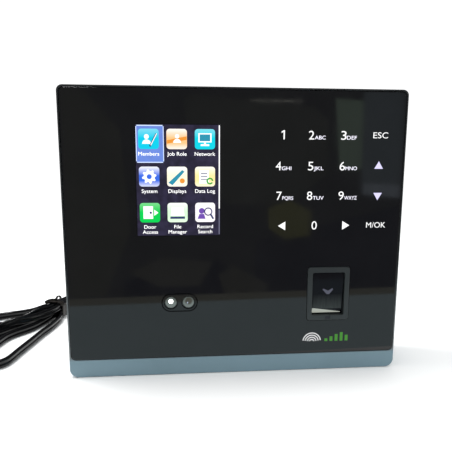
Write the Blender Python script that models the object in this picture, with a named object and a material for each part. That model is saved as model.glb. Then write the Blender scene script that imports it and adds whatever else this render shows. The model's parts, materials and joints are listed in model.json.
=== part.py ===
"""Fingerprint scanner terminal with its power lead.

The terminal stands upright: +X to its right, -Y out of its front, +Z up. The origin is the
middle of the bottom of the terminal's own box. Sizes below are millimetres; the mesh helpers
turn them into metres. Every sub-part is one named object with one material.
"""

import math

import bmesh
import bpy
from mathutils import Matrix, Vector

MM = 0.001
GAP = 0.3

# Outer body
WIDTH = 181.0
HEIGHT = 154.0
FRONT = -18.0
BACK = 18.0
TOP_CORNER = 3.0
BOTTOM_CORNER = 4.5
WALL = 2.2
HALF = WIDTH / 2

# Planes across the depth, front to back
RIM_FRONT = FRONT + 0.8
PANEL_FRONT = FRONT + 0.6
PANEL_BACK = PANEL_FRONT + 2.0
POCKET_FLOOR = PANEL_BACK + 1.0
FRONT_WALL_BACK = POCKET_FLOOR + 2.0
SPLIT = 4.0
BOARD_FRONT = -1.0
BOARD_BACK = BOARD_FRONT + 1.6
REAR_WALL_FRONT = 12.3
REAR_WALL_BACK = REAR_WALL_FRONT + WALL
PLATE_FRONT = REAR_WALL_BACK + 0.5
PLATE_BACK = PLATE_FRONT + 1.5

# Front panel
RIM = 0.9
PANEL_EDGE = HALF - RIM - GAP
PANEL_BOTTOM = 10.0
PANEL_TOP = HEIGHT - RIM - GAP
PANEL_CORNER = 2.8

# Display
SCREEN = (-52.3, 77.8, -9.2, 134.9)
SCREEN_EDGE = 0.6
MODULE = (-55.8, 70.5, -5.8, 139.7)

# Touch keys and their light guide
KEYS = (18.0, 76.0, 82.0, 137.0)

# Camera window
LAMP = (-35.6, 41.0)
CAMERA = (-26.2, 41.0)
LENS_RADIUS = 3.05
PILL_RADIUS = 4.8

# Fingerprint sensor
BEZEL = (39.0, 29.0, 62.6, 59.4)
PRISM = (42.1, 32.4, 59.5, 55.9)
BEZEL_CORNER = 1.6

# Connector bay, open to the back
BAY = (-60.0, 12.0, 50.0, 54.0)
PLUG_AXIS = (6.6, 24.5)
PLUG_RADIUS = 5.0

# Case bosses and screws
CASE_SCREW = (HALF - 6.0, 6.5)
BOARD_SCREW = (74.0, 18.0, 142.0)

# Wall plate
PLATE = (-62.0, 8.2, 62.0, 132.0)
HOOK_X = 42.0
HOOK_Z = (70.0, 118.0)
HOOK_WIDTH = 12.0
HOOK_RISE = 4.5
PLATE_TRAVEL = 5.0

# Tamper plunger, beside the wall plate
TAMPER = (69.0, 74.0)

# USB cover, in the right-hand side wall
USB_Z = (95.0, 114.0)
USB_Y = (-1.0, 9.0)
COVER_THICK = 1.2

# Cord: a flat twin lead, as wide as CORD across
CORD = 5.4
CORD_Z = CORD / 2 + 0.05
TIE = (-123.0, 80.0)
HANK_TOP = 11.0
# Route points chosen by hand. The lead runs from the plug's strain relief to the hank, and
# the tail runs from the hank to the adapter.
LEAD = (
    (-18.3, 6.6, 24.5),
    (-27.0, 7.2, 24.3),
    (-37.0, 10.0, 23.4),
    (-46.0, 16.0, 21.0),
    (-53.5, 25.5, 16.6),
    (-59.0, 37.0, 10.8),
    (-62.0, 48.5, 6.0),
    (-63.5, 60.0, 3.4),
    (-63.0, 71.0, CORD_Z),
    (-61.0, 82.0, CORD_Z),
    (-58.4, 92.5, CORD_Z),
    (-58.0, 102.6, CORD_Z),
)
TAIL = (
    (-48.9, 112.3, 6.2),
    (-40.5, 113.4, 4.0),
    (-31.5, 117.0, 3.0),
    (-21.0, 121.5, 4.6),
    (-10.0, 122.0, 8.6),
    (-2.0, 115.5, 12.6),
    (0.0, 106.0, 14.7),
    (0.0, 98.9, 15.0),
)
# Outline of the hank seen from above: front loops, neck under the tie, rear folds
HANK = (
    (-116.4, 68.0),
    (-117.6, 54.0),
    (-120.6, 40.0),
    (-123.0, 26.0),
    (-125.4, 11.0),
    (-128.0, -2.5),
    (-134.0, -7.6),
    (-141.0, -8.0),
    (-149.0, -4.4),
    (-153.4, 3.0),
    (-152.6, 13.0),
    (-150.0, 23.0),
    (-153.0, 30.5),
    (-162.0, 28.6),
    (-171.0, 29.0),
    (-180.0, 33.6),
    (-185.6, 42.0),
    (-186.4, 52.0),
    (-182.6, 62.0),
    (-174.0, 71.6),
    (-163.0, 77.0),
    (-148.0, 78.0),
    (-137.0, 77.6),
    (-129.4, 80.6),
    (-129.0, 87.0),
    (-125.5, 95.0),
    (-115.5, 108.8),
    (-98.5, 119.0),
    (-79.0, 123.8),
    (-66.0, 125.6),
    (-59.0, 134.0),
    (-47.0, 141.0),
    (-35.4, 136.0),
    (-33.6, 126.6),
    (-37.4, 119.8),
    (-43.4, 117.0),
    (-51.4, 115.6),
    (-54.6, 108.6),
    (-64.0, 110.0),
    (-77.0, 110.9),
    (-93.6, 107.0),
    (-106.4, 99.4),
    (-113.4, 90.0),
    (-116.8, 79.0),
)

# Mains adapter behind the terminal
ADAPTER = (-30.0, 54.0, 30.0, 94.0)
ADAPTER_HEIGHT = 30.0
PIN_RADIUS = 2.0
PIN_PITCH = 19.0
PIN_LENGTH = 19.0


# ---------------------------------------------------------------- scene and materials


def clear_scene():
    for o in list(bpy.data.objects):
        bpy.data.objects.remove(o, do_unlink=True)


def material(name, colour, roughness, metallic=0.0):
    made = bpy.data.materials.get(name)
    if made is None:
        made = bpy.data.materials.new(name)
        made.use_nodes = True
        made.diffuse_color = (*colour, 1.0)
        shader = made.node_tree.nodes["Principled BSDF"]
        shader.inputs["Base Color"].default_value = (*colour, 1.0)
        shader.inputs["Roughness"].default_value = roughness
        shader.inputs["Metallic"].default_value = metallic
    return made


def blue_grey_plastic():
    return material("blue_grey_plastic", (0.14, 0.22, 0.26), 0.5)


def gloss_black():
    return material("gloss_black", (0.01, 0.01, 0.012), 0.06)


def black_plastic():
    return material("black_plastic", (0.02, 0.02, 0.022), 0.5)


def board_green():
    return material("board_green", (0.02, 0.12, 0.07), 0.45)


def steel():
    return material("steel", (0.55, 0.56, 0.57), 0.35, 1.0)


def rubber():
    return material("rubber", (0.03, 0.03, 0.03), 0.7)


def clear_glass():
    return material("clear_glass", (0.3, 0.33, 0.35), 0.05)


def pale_plastic():
    return material("pale_plastic", (0.75, 0.75, 0.72), 0.5)


# ---------------------------------------------------------------- mesh helpers


def add_object(name, mesh, look=None, location=(0.0, 0.0, 0.0)):
    o = bpy.data.objects.new(name, mesh)
    bpy.context.collection.objects.link(o)
    o.location = Vector(location) * MM
    if look is not None:
        mesh.materials.append(look)
    return o


def prism_mesh(name, outline, low, high, axis):
    """An outline extruded from low to high along an axis. The outline's two coordinates are
    the other two axes, in X, Y, Z order."""
    order = {"x": (2, 0, 1), "y": (0, 2, 1), "z": (0, 1, 2)}[axis]
    bm = bmesh.new()
    corners = []
    for a, b in outline:
        local = (a, b, low)
        corners.append(bm.verts.new([local[k] * MM for k in order]))
    face = bm.faces.new(corners)
    made = bmesh.ops.extrude_face_region(bm, geom=[face])
    step = Vector([(0.0, 0.0, high - low)[k] * MM for k in order])
    tops = [g for g in made["geom"] if isinstance(g, bmesh.types.BMVert)]
    bmesh.ops.translate(bm, verts=tops, vec=step)
    bmesh.ops.recalc_face_normals(bm, faces=bm.faces)
    mesh = bpy.data.meshes.new(name)
    bm.to_mesh(mesh)
    bm.free()
    return mesh


def rectangle(a0, b0, a1, b1):
    return [(a0, b0), (a1, b0), (a1, b1), (a0, b1)]


def rounded(a0, b0, a1, b1, radii, steps=5):
    """A rectangle with rounded corners. radii is one number, or four from low-low onwards,
    anticlockwise."""
    if not isinstance(radii, tuple):
        radii = (radii,) * 4
    corners = ((a0, b0, 180), (a1, b0, 270), (a1, b1, 0), (a0, b1, 90))
    points = []
    for (a, b, start), r in zip(corners, radii, strict=True):
        ca = a + r if a == a0 else a - r
        cb = b + r if b == b0 else b - r
        for k in range(steps + 1):
            t = math.radians(start + 90 * k / steps)
            points.append((ca + r * math.cos(t), cb + r * math.sin(t)))
    return points


def circle(ca, cb, r, steps=20):
    return [
        (ca + r * math.cos(2 * math.pi * k / steps), cb + r * math.sin(2 * math.pi * k / steps))
        for k in range(steps)
    ]


def pill(ca, cb, half_length, r, steps=8):
    points = []
    for k in range(steps + 1):
        t = math.radians(-90 + 180 * k / steps)
        points.append((ca + half_length + r * math.cos(t), cb + r * math.sin(t)))
    for k in range(steps + 1):
        t = math.radians(90 + 180 * k / steps)
        points.append((ca - half_length + r * math.cos(t), cb + r * math.sin(t)))
    return points


def prism(name, outline, low, high, axis, look=None):
    return add_object(name, prism_mesh(name, outline, low, high, axis), look)


def block(name, low, high, look=None):
    return prism(name, rectangle(low[0], low[1], high[0], high[1]), low[2], high[2], "z", look)


def turned(name, profile, centre, axis, look=None, steps=20):
    """A solid of revolution. profile is (distance along the axis, radius) pairs that start
    and end at radius 0; centre is where the axis crosses the other two coordinates."""
    order = {"x": (2, 0, 1), "y": (0, 2, 1), "z": (0, 1, 2)}[axis]
    bm = bmesh.new()
    rings = []
    for along, r in profile:
        if r == 0:
            local = (centre[0], centre[1], along)
            rings.append([bm.verts.new([local[k] * MM for k in order])])
            continue
        ring = []
        for a, b in circle(centre[0], centre[1], r, steps):
            local = (a, b, along)
            ring.append(bm.verts.new([local[k] * MM for k in order]))
        rings.append(ring)
    for one, two in zip(rings, rings[1:], strict=False):
        for k in range(steps):
            j = (k + 1) % steps
            if len(one) == 1:
                bm.faces.new((one[0], two[k], two[j]))
            elif len(two) == 1:
                bm.faces.new((one[j], one[k], two[0]))
            else:
                bm.faces.new((one[k], two[k], two[j], one[j]))
    bmesh.ops.recalc_face_normals(bm, faces=bm.faces)
    mesh = bpy.data.meshes.new(name)
    bm.to_mesh(mesh)
    bm.free()
    mesh.shade_smooth()
    return add_object(name, mesh, look)


def change(target, tool, operation):
    """Cut tool from target, or join it on. The tool stays as a hidden guide."""
    tool.hide_render = True
    tool.display_type = "WIRE"
    modifier = target.modifiers.new(tool.name, "BOOLEAN")
    modifier.operation = operation
    modifier.object = tool
    modifier.solver = "EXACT"


def cut(target, *tools):
    for tool in tools:
        change(target, tool, "DIFFERENCE")


def join(target, *tools):
    for tool in tools:
        change(target, tool, "UNION")


def bevel_edges(o, width, segments=2, angle=40.0):
    modifier = o.modifiers.new("edges", "BEVEL")
    modifier.width = width * MM
    modifier.segments = segments
    modifier.limit_method = "ANGLE"
    modifier.angle_limit = math.radians(angle)


def grown(box, by):
    return (box[0] - by, box[1] - by, box[2] + by, box[3] + by)


# ---------------------------------------------------------------- front half


def body_outline(inset=0.0):
    top, bottom = TOP_CORNER - min(inset, 2.0), BOTTOM_CORNER - min(inset, 2.0)
    return rounded(
        -HALF + inset, inset, HALF - inset, HEIGHT - inset, (bottom, bottom, top, top)
    )


def front_housing():
    shell = prism("front_housing", body_outline(), RIM_FRONT, SPLIT, "y", blue_grey_plastic())
    bevel_edges(shell, 0.5, 2, 60.0)
    cut(shell, prism("cavity_front", body_outline(WALL), FRONT_WALL_BACK, SPLIT + 5, "y"))
    pocket = rounded(
        -PANEL_EDGE - GAP, PANEL_BOTTOM - GAP, PANEL_EDGE + GAP, PANEL_TOP + GAP, PANEL_CORNER
    )
    cut(shell, prism("panel_pocket", pocket, RIM_FRONT - 2, POCKET_FLOOR, "y"))
    through = POCKET_FLOOR - 1, FRONT_WALL_BACK + 1
    pill_middle = (LAMP[0] + CAMERA[0]) / 2
    windows = {
        "display_opening": rectangle(*grown(MODULE, GAP)),
        "key_opening": rectangle(*KEYS),
        "sensor_opening": rounded(*grown(BEZEL, GAP), BEZEL_CORNER, 3),
        "camera_opening": pill(
            pill_middle, LAMP[1], CAMERA[0] - pill_middle, PILL_RADIUS + GAP
        ),
    }
    for name, outline in windows.items():
        cut(shell, prism(name, outline, *through, "y"))
    for k, (x, z) in enumerate(case_screw_places()):
        boss = prism(f"case_boss_{k}", circle(x, z, 4.2), POCKET_FLOOR + 1, SPLIT - 0.5, "y")
        join(shell, boss)
        cut(shell, prism(f"case_bore_{k}", circle(x, z, 1.6, 12), -6.0, SPLIT + 1, "y"))
    for k, (x, z) in enumerate(board_screw_places()):
        boss = prism(
            f"board_boss_{k}", circle(x, z, 3.2), POCKET_FLOOR + 1, BOARD_FRONT - GAP, "y"
        )
        join(shell, boss)
        cut(shell, prism(f"board_bore_{k}", circle(x, z, 1.3, 12), -8.0, BOARD_FRONT + 1, "y"))
    cut(shell, *usb_cutters("front"))
    return shell


def case_screw_places():
    x, z = CASE_SCREW
    return [(-x, z), (x, z), (-x, HEIGHT - z), (x, HEIGHT - z)]


def board_screw_places():
    x, low, high = BOARD_SCREW
    return [(-x, low), (x, low), (-x, high), (x, high)]


def usb_cutters(side):
    """The recess that the cover lies in, the opening behind it and a finger notch."""
    recess = block(
        f"cover_recess_{side}",
        (HALF - COVER_THICK - GAP, USB_Y[0] - GAP, USB_Z[0] - GAP),
        (HALF + 5, USB_Y[1] + 1.2, USB_Z[1] + GAP),
    )
    opening = block(
        f"usb_opening_{side}",
        (HALF - 8, 0.6, 98.2),
        (HALF + 5, 7.4, 112.0),
    )
    middle = (USB_Z[0] + USB_Z[1]) / 2
    notch = block(
        f"finger_notch_{side}",
        (HALF - COVER_THICK - GAP, USB_Y[0] - 2.2, middle - 4),
        (HALF + 5, USB_Y[0], middle + 4),
    )
    return recess, opening, notch


def front_panel():
    outline = rounded(-PANEL_EDGE, PANEL_BOTTOM, PANEL_EDGE, PANEL_TOP, PANEL_CORNER)
    panel = prism("front_panel", outline, PANEL_FRONT, PANEL_BACK, "y", gloss_black())
    bevel_edges(panel, 0.35, 2, 60.0)
    through = PANEL_FRONT - 1, PANEL_BACK + 1
    pill_middle = (LAMP[0] + CAMERA[0]) / 2
    cut(
        panel,
        prism("screen_window", rectangle(*grown(SCREEN, SCREEN_EDGE)), *through, "y"),
        prism("sensor_window", rounded(*grown(BEZEL, GAP), BEZEL_CORNER, 3), *through, "y"),
        prism(
            "pill_window",
            pill(pill_middle, LAMP[1], CAMERA[0] - pill_middle, PILL_RADIUS),
            *through,
            "y",
        ),
    )
    return panel


def panel_tape():
    """The adhesive frame between the panel and the floor of its pocket."""
    low, high = PANEL_BACK + GAP, POCKET_FLOOR - GAP
    tape = prism(
        "panel_tape",
        rounded(-87.0, 12.5, 87.0, 150.5, 2.0, 2),
        low,
        high,
        "y",
        black_plastic(),
    )
    cut(
        tape,
        prism("tape_display", rectangle(*grown(MODULE, 1.5)), low - 1, high + 1, "y"),
        prism("tape_keys", rectangle(13.0, 71.0, 84.0, 144.0), low - 1, high + 1, "y"),
        prism("tape_low", rectangle(-82.0, 17.0, 82.0, 66.0), low - 1, high + 1, "y"),
    )
    return tape


def display():
    glass = prism(
        "display_glass",
        rectangle(*MODULE),
        PANEL_BACK + GAP,
        PANEL_BACK + 2.0,
        "y",
        gloss_black(),
    )
    join(
        glass,
        prism(
            "display_face",
            rectangle(*grown(SCREEN, SCREEN_EDGE - GAP)),
            PANEL_FRONT + 0.1,
            PANEL_BACK + 1.0,
            "y",
        ),
    )
    tray = prism("display_tray", rectangle(*MODULE), -13.1, -10.4, "y", pale_plastic())
    cut(tray, prism("tray_hollow", rectangle(*grown(MODULE, -2.0)), -11.6, -9.0, "y"))
    prism(
        "display_ribbon",
        [(-10.1, 66.0), (-10.1, 92.0), (-9.8, 92.0), (-9.8, 66.3), (-4.0, 66.3), (-4.0, 66.0)],
        -40.0,
        -22.0,
        "x",
        material("ribbon", (0.45, 0.22, 0.04), 0.4),
    )


def keypad():
    prism(
        "touch_board",
        rectangle(14.0, 72.0, 83.0, 143.0),
        PANEL_BACK + GAP,
        POCKET_FLOOR - GAP,
        "y",
        board_green(),
    )
    prism(
        "key_light_guide",
        rectangle(*grown(KEYS, -GAP)),
        POCKET_FLOOR,
        FRONT_WALL_BACK + 1.2,
        "y",
        pale_plastic(),
    )


def camera():
    middle = (LAMP[0] + CAMERA[0]) / 2
    reach = CAMERA[0] - middle
    window = prism(
        "camera_window",
        pill(middle, LAMP[1], reach, PILL_RADIUS - GAP),
        PANEL_FRONT + 0.4,
        PANEL_BACK + 0.6,
        "y",
        gloss_black(),
    )
    for name, (x, z) in (("lamp_lens", LAMP), ("camera_lens", CAMERA)):
        hole = prism(f"{name}_hole", circle(x, z, LENS_RADIUS + GAP), -20.0, -12.0, "y")
        cut(window, hole)
        turned(
            name,
            [
                (PANEL_FRONT + 0.2, 0.0),
                (PANEL_FRONT + 0.35, 1.6),
                (PANEL_FRONT + 0.8, LENS_RADIUS),
                (-9.6, LENS_RADIUS),
                (-9.6, 0.0),
            ],
            (x, z),
            "y",
            clear_glass(),
        )
    holder = prism(
        "camera_holder",
        rectangle(middle - 13, LAMP[1] - 7.5, middle + 13, LAMP[1] + 7.5),
        FRONT_WALL_BACK + GAP,
        -7.0,
        "y",
        black_plastic(),
    )
    hollow = pill(middle, LAMP[1], reach, LENS_RADIUS + 1.2)
    cut(holder, prism("holder_hollow", hollow, -15.0, -5.0, "y"))
    prism(
        "camera_board",
        rectangle(middle - 12, LAMP[1] - 7, middle + 12, LAMP[1] + 7),
        -6.7,
        -5.5,
        "y",
        board_green(),
    )


def fingerprint_sensor():
    bezel = prism(
        "sensor_bezel",
        rounded(*BEZEL, BEZEL_CORNER, 4),
        FRONT,
        FRONT_WALL_BACK - 0.3,
        "y",
        black_plastic(),
    )
    bevel_edges(bezel, 0.5, 2, 60.0)
    cut(
        bezel,
        prism("prism_well", rounded(*grown(PRISM, GAP), 0.8, 3), FRONT - 2, -10.0, "y"),
        block("thumb_notch", (49.3, FRONT - 1, BEZEL[1] - 1), (52.3, FRONT + 0.5, 32.6)),
    )
    x0, z0, x1, z1 = PRISM
    prism(
        "sensor_prism",
        [(-12.8, z0), (-12.8, z1), (-16.9, z1), (-15.9, z0 + 2.5), (-15.3, z0)],
        x0,
        x1,
        "x",
        clear_glass(),
    )
    case = prism(
        "sensor_case",
        rectangle(36.8, 26.2, 64.8, 62.2),
        FRONT_WALL_BACK + GAP,
        -3.4,
        "y",
        black_plastic(),
    )
    cut(case, prism("case_hollow", rectangle(39.0, 28.4, 62.6, 60.0), -9.0, -1.0, "y"))
    prism(
        "sensor_board", rectangle(36.8, 26.2, 64.8, 62.2), -3.1, -1.9, "y", board_green()
    )


def card_antenna():
    antenna = prism(
        "card_antenna",
        rounded(-15.0, 20.0, 31.0, 64.0, 3.0, 3),
        FRONT_WALL_BACK + GAP,
        FRONT_WALL_BACK + 1.1,
        "y",
        board_green(),
    )
    cut(antenna, prism("antenna_hole", rounded(-9, 26, 25, 58, 2.0, 3), -13.0, -9.0, "y"))


# ---------------------------------------------------------------- main board


def main_board():
    board = prism(
        "main_board",
        rounded(-79.5, 13.0, 79.5, 145.5, 1.5, 2),
        BOARD_FRONT,
        BOARD_BACK,
        "y",
        board_green(),
    )
    for k, (x, z) in enumerate(board_screw_places()):
        cut(board, prism(f"board_hole_{k}", circle(x, z, 1.6, 12), -3.0, 3.0, "y"))


def board_parts():
    back = BOARD_BACK + GAP
    shield = block("processor_shield", (-16.0, back, 98.0), (16.0, back + 3.6, 130.0), steel())
    bevel_edges(shield, 0.5, 1, 60.0)
    holder = block("battery_holder", (24.0, back, 74.0), (34.6, back + 3.2, 87.0))
    holder.data.materials.append(black_plastic())
    join(holder, block("holder_arm", (24.0, back, 72.0), (26.0, back + 5.4, 89.0)))
    disc = [(back + 3.5, 0.0), (back + 3.5, 9.6), (back + 3.9, 10.0), (back + 6.3, 10.0)]
    disc += [(back + 6.7, 9.6), (back + 6.7, 0.0)]
    turned("backup_battery", disc, (36.6, 80.5), "y", steel(), 24)
    relay = block("door_relay", (-30.0, back, 62.0), (-11.0, back + 10.2, 77.0))
    relay.data.materials.append(material("relay_blue", (0.02, 0.09, 0.32), 0.45))
    bevel_edges(relay, 0.6, 1, 60.0)
    for k, x in enumerate((-6.0, 6.0)):
        can = [(back, 0.0), (back, 4.0), (back + 8.6, 4.0), (back + 9.0, 3.6), (back + 9.0, 0.0)]
        turned(f"filter_capacitor_{k + 1}", can, (x, 68.0), "y", black_plastic(), 16)


def connectors():
    back = BOARD_BACK + GAP
    jack = block("network_jack", (-50.0, back, 32.5), (-34.0, 14.2, 53.5), steel())
    cut(
        jack,
        block("jack_mouth", (-47.9, back + 3.2, 31.0), (-36.1, 11.7, 45.0)),
        block("jack_latch_slot", (-45.2, 10.0, 31.0), (-38.8, 13.2, 43.0)),
    )
    for name, x in (("terminal_block_left", -28.0), ("terminal_block_right", -4.0)):
        terminals = block(name, (x, back, 42.0), (x + 20.0, 10.0, 52.0))
        terminals.data.materials.append(material("terminal_green", (0.03, 0.25, 0.1), 0.5))
        for k in range(5):
            middle = x + 2.4 + 3.8 * k
            entry = block(f"{name}_entry_{k}", (middle - 1.2, 3.4, 41.0), (middle + 1.2, 6.4, 46))
            cut(terminals, entry)
    socket = block("power_socket", (29.0, back, 19.8), (44.0, 12.0, 29.4), black_plastic())
    cut(socket, prism("socket_bore", circle(*PLUG_AXIS, 3.1, 16), 28.0, 40.5, "x"))
    usb = block("usb_socket", (70.5, back, 98.9), (86.9, 7.1, 111.3), steel())
    cut(usb, block("usb_mouth", (74.0, back + 0.5, 99.5), (90.0, 6.6, 110.7)))


def reset():
    back = BOARD_BACK + GAP
    switch = block("reset_switch", (37.0, back, 41.0), (43.0, 5.0, 47.0), black_plastic())
    cut(switch, prism("switch_well", circle(40.0, 44.0, 2.2, 16), 3.4, 6.0, "y"))
    cap = [(4.2, 0.0), (4.2, 1.75), (7.3, 1.75), (7.6, 1.45), (7.6, 0.0)]
    turned("reset_button", cap, (40.0, 44.0), "y", pale_plastic(), 16)


def tamper():
    back = BOARD_BACK + GAP
    x, z = TAMPER
    block("tamper_switch", (x - 3.5, back, z - 3.5), (x + 3.5, 5.6, z + 3.5), black_plastic())
    rod = [
        (7.5, 0.0),
        (7.5, 1.5),
        (10.6, 1.5),
        (10.6, 2.6),
        (11.6, 2.6),
        (11.6, 1.5),
        (17.6, 1.5),
        (BACK, 1.1),
        (BACK, 0.0),
    ]
    turned("tamper_plunger", rod, TAMPER, "y", pale_plastic(), 16)


def speaker():
    driver = prism(
        "speaker", rounded(-86.0, 87.0, -66.0, 119.0, 9.0, 5), 3.4, 10.9, "y", black_plastic()
    )
    bevel_edges(driver, 0.8, 1, 60.0)
    gasket = prism(
        "speaker_gasket", rounded(-86.0, 87.0, -66.0, 119.0, 9.0, 5), 11.2, 12.0, "y", rubber()
    )
    cut(gasket, prism("gasket_hole", rounded(-83, 90, -69, 116, 6.5, 5), 10.0, 13.0, "y"))


# ---------------------------------------------------------------- rear half


def rear_housing():
    shell = prism(
        "rear_housing", body_outline(), SPLIT + GAP, REAR_WALL_BACK, "y", blue_grey_plastic()
    )
    bevel_edges(shell, 1.2, 3, 60.0)
    cut(shell, prism("cavity_rear", body_outline(WALL), SPLIT - 5, REAR_WALL_FRONT, "y"))
    skirt = rectangle(*grown(BAY, 1.6))
    join(shell, prism("bay_skirt", skirt, BOARD_BACK + 0.6, REAR_WALL_FRONT + 0.5, "y"))
    cut(shell, prism("bay_opening", rectangle(*BAY), -2.0, 20.0, "y"))
    for k, (x, z) in enumerate(case_screw_places()):
        post = prism(f"rear_post_{k}", circle(x, z, 4.2), SPLIT + GAP, REAR_WALL_BACK - 1, "y")
        join(shell, post)
        cut(
            shell,
            prism(f"rear_hole_{k}", circle(x, z, 1.9, 12), 0.0, 20.0, "y"),
            prism(f"rear_sink_{k}", circle(x, z, 3.2), 11.0, 20.0, "y"),
        )
    for k in range(6):
        z = 91.0 + 4.8 * k
        cut(
            shell,
            prism(f"sound_slot_{k}", pill(-76.0, z, 5.2, 0.8, 3), 10.0, 20.0, "y"),
            prism(f"vent_slot_{k}", pill(76.0, z, 5.2, 0.8, 3), 10.0, 20.0, "y"),
        )
    for x in (-HOOK_X, HOOK_X):
        for z in HOOK_Z:
            slot = rectangle(
                x - HOOK_WIDTH / 2 - GAP,
                z - PLATE_TRAVEL - 0.5,
                x + HOOK_WIDTH / 2 + GAP,
                z + 1.8,
            )
            cut(shell, prism(f"hook_slot_{x:.0f}_{z:.0f}", slot, 11.0, 20.0, "y"))
    cut(
        shell,
        prism("plunger_hole", circle(*TAMPER, 2.0, 16), 11.0, 20.0, "y"),
        block("tab_notch", (-8.0, 5.6, -1.0), (8.0, 20.0, 10.2)),
        prism("insert_hole", circle(0.0, 11.5, 1.9, 12), 9.0, 13.0, "z"),
        *usb_cutters("rear"),
    )
    return shell


def wall_plate():
    plate = prism("wall_plate", rounded(*PLATE, 3.0, 3), PLATE_FRONT, PLATE_BACK, "y", steel())
    lower = prism("plate_bay", rounded(-58, 12.8, 48, 54, 2.0, 3), 12.0, 19.0, "y")
    upper = prism("plate_window", rounded(-28, 72, 28, 116, 3.0, 3), 12.0, 19.0, "y")
    cut(plate, lower, upper)
    for x in (-50.0, 50.0):
        for z in (62.0, 106.0):
            slot = prism(f"wall_slot_{x:.0f}_{z:.0f}", pill(x, z, 4.0, 2.4, 4), 12, 19, "y")
            cut(plate, slot)
    for x in (-HOOK_X, HOOK_X):
        for z in HOOK_Z:
            side = [
                (PLATE_BACK - 0.5, z),
                (PLATE_BACK - 0.5, z + 1.5),
                (11.9, z + 1.5),
                (11.9, z + 1.5 + HOOK_RISE),
                (10.4, z + 1.5 + HOOK_RISE),
                (10.4, z),
            ]
            hook = prism(
                f"hook_{x:.0f}_{z:.0f}", side, x - HOOK_WIDTH / 2, x + HOOK_WIDTH / 2, "x"
            )
            join(plate, hook)
    tab = block("lock_tab", (-7.0, 6.6, 8.2), (7.0, PLATE_BACK - 0.5, 9.7))
    join(plate, tab)
    cut(plate, prism("tab_hole", circle(0.0, 11.5, 1.9, 12), 7.0, 10.4, "z"))


# ---------------------------------------------------------------- fasteners and cover


def screws():
    for k, (x, z) in enumerate(case_screw_places()):
        profile = [(-3.0, 0.0), (-3.0, 1.25), (11.3, 1.25), (11.3, 2.8), (12.6, 2.8)]
        profile += [(13.0, 2.3), (13.0, 0.0)]
        screw = turned(f"case_screw_{k + 1}", profile, (x, z), "y", steel(), 16)
        cross_recess(screw, f"case_cross_{k}", x, z, 12.0, 14.0, 1.7)
    for k, (x, z) in enumerate(board_screw_places()):
        profile = [(-6.0, 0.0), (-6.0, 0.95), (0.9, 0.95), (0.9, 2.4), (1.9, 2.4)]
        profile += [(2.4, 1.8), (2.4, 0.0)]
        screw = turned(f"board_screw_{k + 1}", profile, (x, z), "y", steel(), 12)
        cross_recess(screw, f"board_cross_{k}", x, z, 1.7, 3.5, 1.3)
    profile = [(5.9, 0.0), (5.9, 2.4), (6.4, 3.0), (7.9, 3.0), (7.9, 1.5), (10.1, 1.5)]
    lock = turned("lock_screw", profile + [(10.1, 0.0)], (0.0, 11.5), "z", steel(), 18)
    cut(lock, prism("lock_socket", circle(0.0, 11.5, 1.4, 6), 5.0, 7.0, "z"))


def cross_recess(screw, name, x, z, low, high, reach):
    cut(
        screw,
        block(f"{name}_a", (x - reach, low, z - 0.35), (x + reach, high, z + 0.35)),
        block(f"{name}_b", (x - 0.35, low, z - reach), (x + 0.35, high, z + reach)),
    )


def usb_cover():
    """The flap's origin is on its hinge axis, so that it turns about its own rear edge."""
    hinge_x, hinge_y = HALF - COVER_THICK / 2, USB_Y[1]
    outline = [(-COVER_THICK / 2, USB_Y[0] - hinge_y), (COVER_THICK / 2, USB_Y[0] - hinge_y)]
    for k in range(7):
        t = math.radians(180 * k / 6)
        outline.append((COVER_THICK / 2 * math.cos(t), COVER_THICK / 2 * math.sin(t)))
    mesh = prism_mesh("usb_cover", outline, USB_Z[0], USB_Z[1], "z")
    cover = add_object("usb_cover", mesh, rubber(), (hinge_x, hinge_y, 0.0))
    return cover


# ---------------------------------------------------------------- cord


def smooth_route(points, spacing, closed=False):
    """Points about every spacing millimetres along a centripetal Catmull-Rom curve."""
    points = [Vector(p) for p in points]
    if closed:
        control = [points[-1], *points, points[0], points[1]]
    else:
        control = [2 * points[0] - points[1], *points, 2 * points[-1] - points[-2]]
    fine = []
    for a, b, c, d in zip(control, control[1:], control[2:], control[3:], strict=False):
        t1 = (b - a).length ** 0.5
        t2 = t1 + (c - b).length ** 0.5
        t3 = t2 + (d - c).length ** 0.5
        for k in range(40):
            t = t1 + (t2 - t1) * k / 40
            p = a.lerp(b, t / t1)
            q = b.lerp(c, (t - t1) / (t2 - t1))
            r = c.lerp(d, (t - t2) / (t3 - t2))
            u = p.lerp(q, t / t2)
            v = q.lerp(r, (t - t1) / (t3 - t1))
            fine.append(u.lerp(v, (t - t1) / (t2 - t1)))
    fine.append(control[-2])
    length = sum((q - p).length for p, q in zip(fine, fine[1:], strict=False))
    count = max(2, round(length / spacing))
    kept, walked, target = [fine[0]], 0.0, length / count
    for p, q in zip(fine, fine[1:], strict=False):
        step = (q - p).length
        while walked + step >= target and len(kept) < count:
            kept.append(p.lerp(q, (target - walked) / step))
            target += length / count
        walked += step
    kept.append(fine[-1])
    return kept


def cord_tube(name, points):
    curve = bpy.data.curves.new(name, "CURVE")
    curve.dimensions = "3D"
    curve.bevel_depth = CORD / 2 * MM
    curve.bevel_resolution = 2
    curve.use_fill_caps = True
    curve.render_resolution_u = 0
    route = smooth_route(points, 2.2 * CORD)
    spline = curve.splines.new("POLY")
    spline.points.add(len(route) - 1)
    for point, place in zip(spline.points, route, strict=True):
        point.co = (*(place * MM), 1.0)
    add_object(name, curve, rubber())


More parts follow.
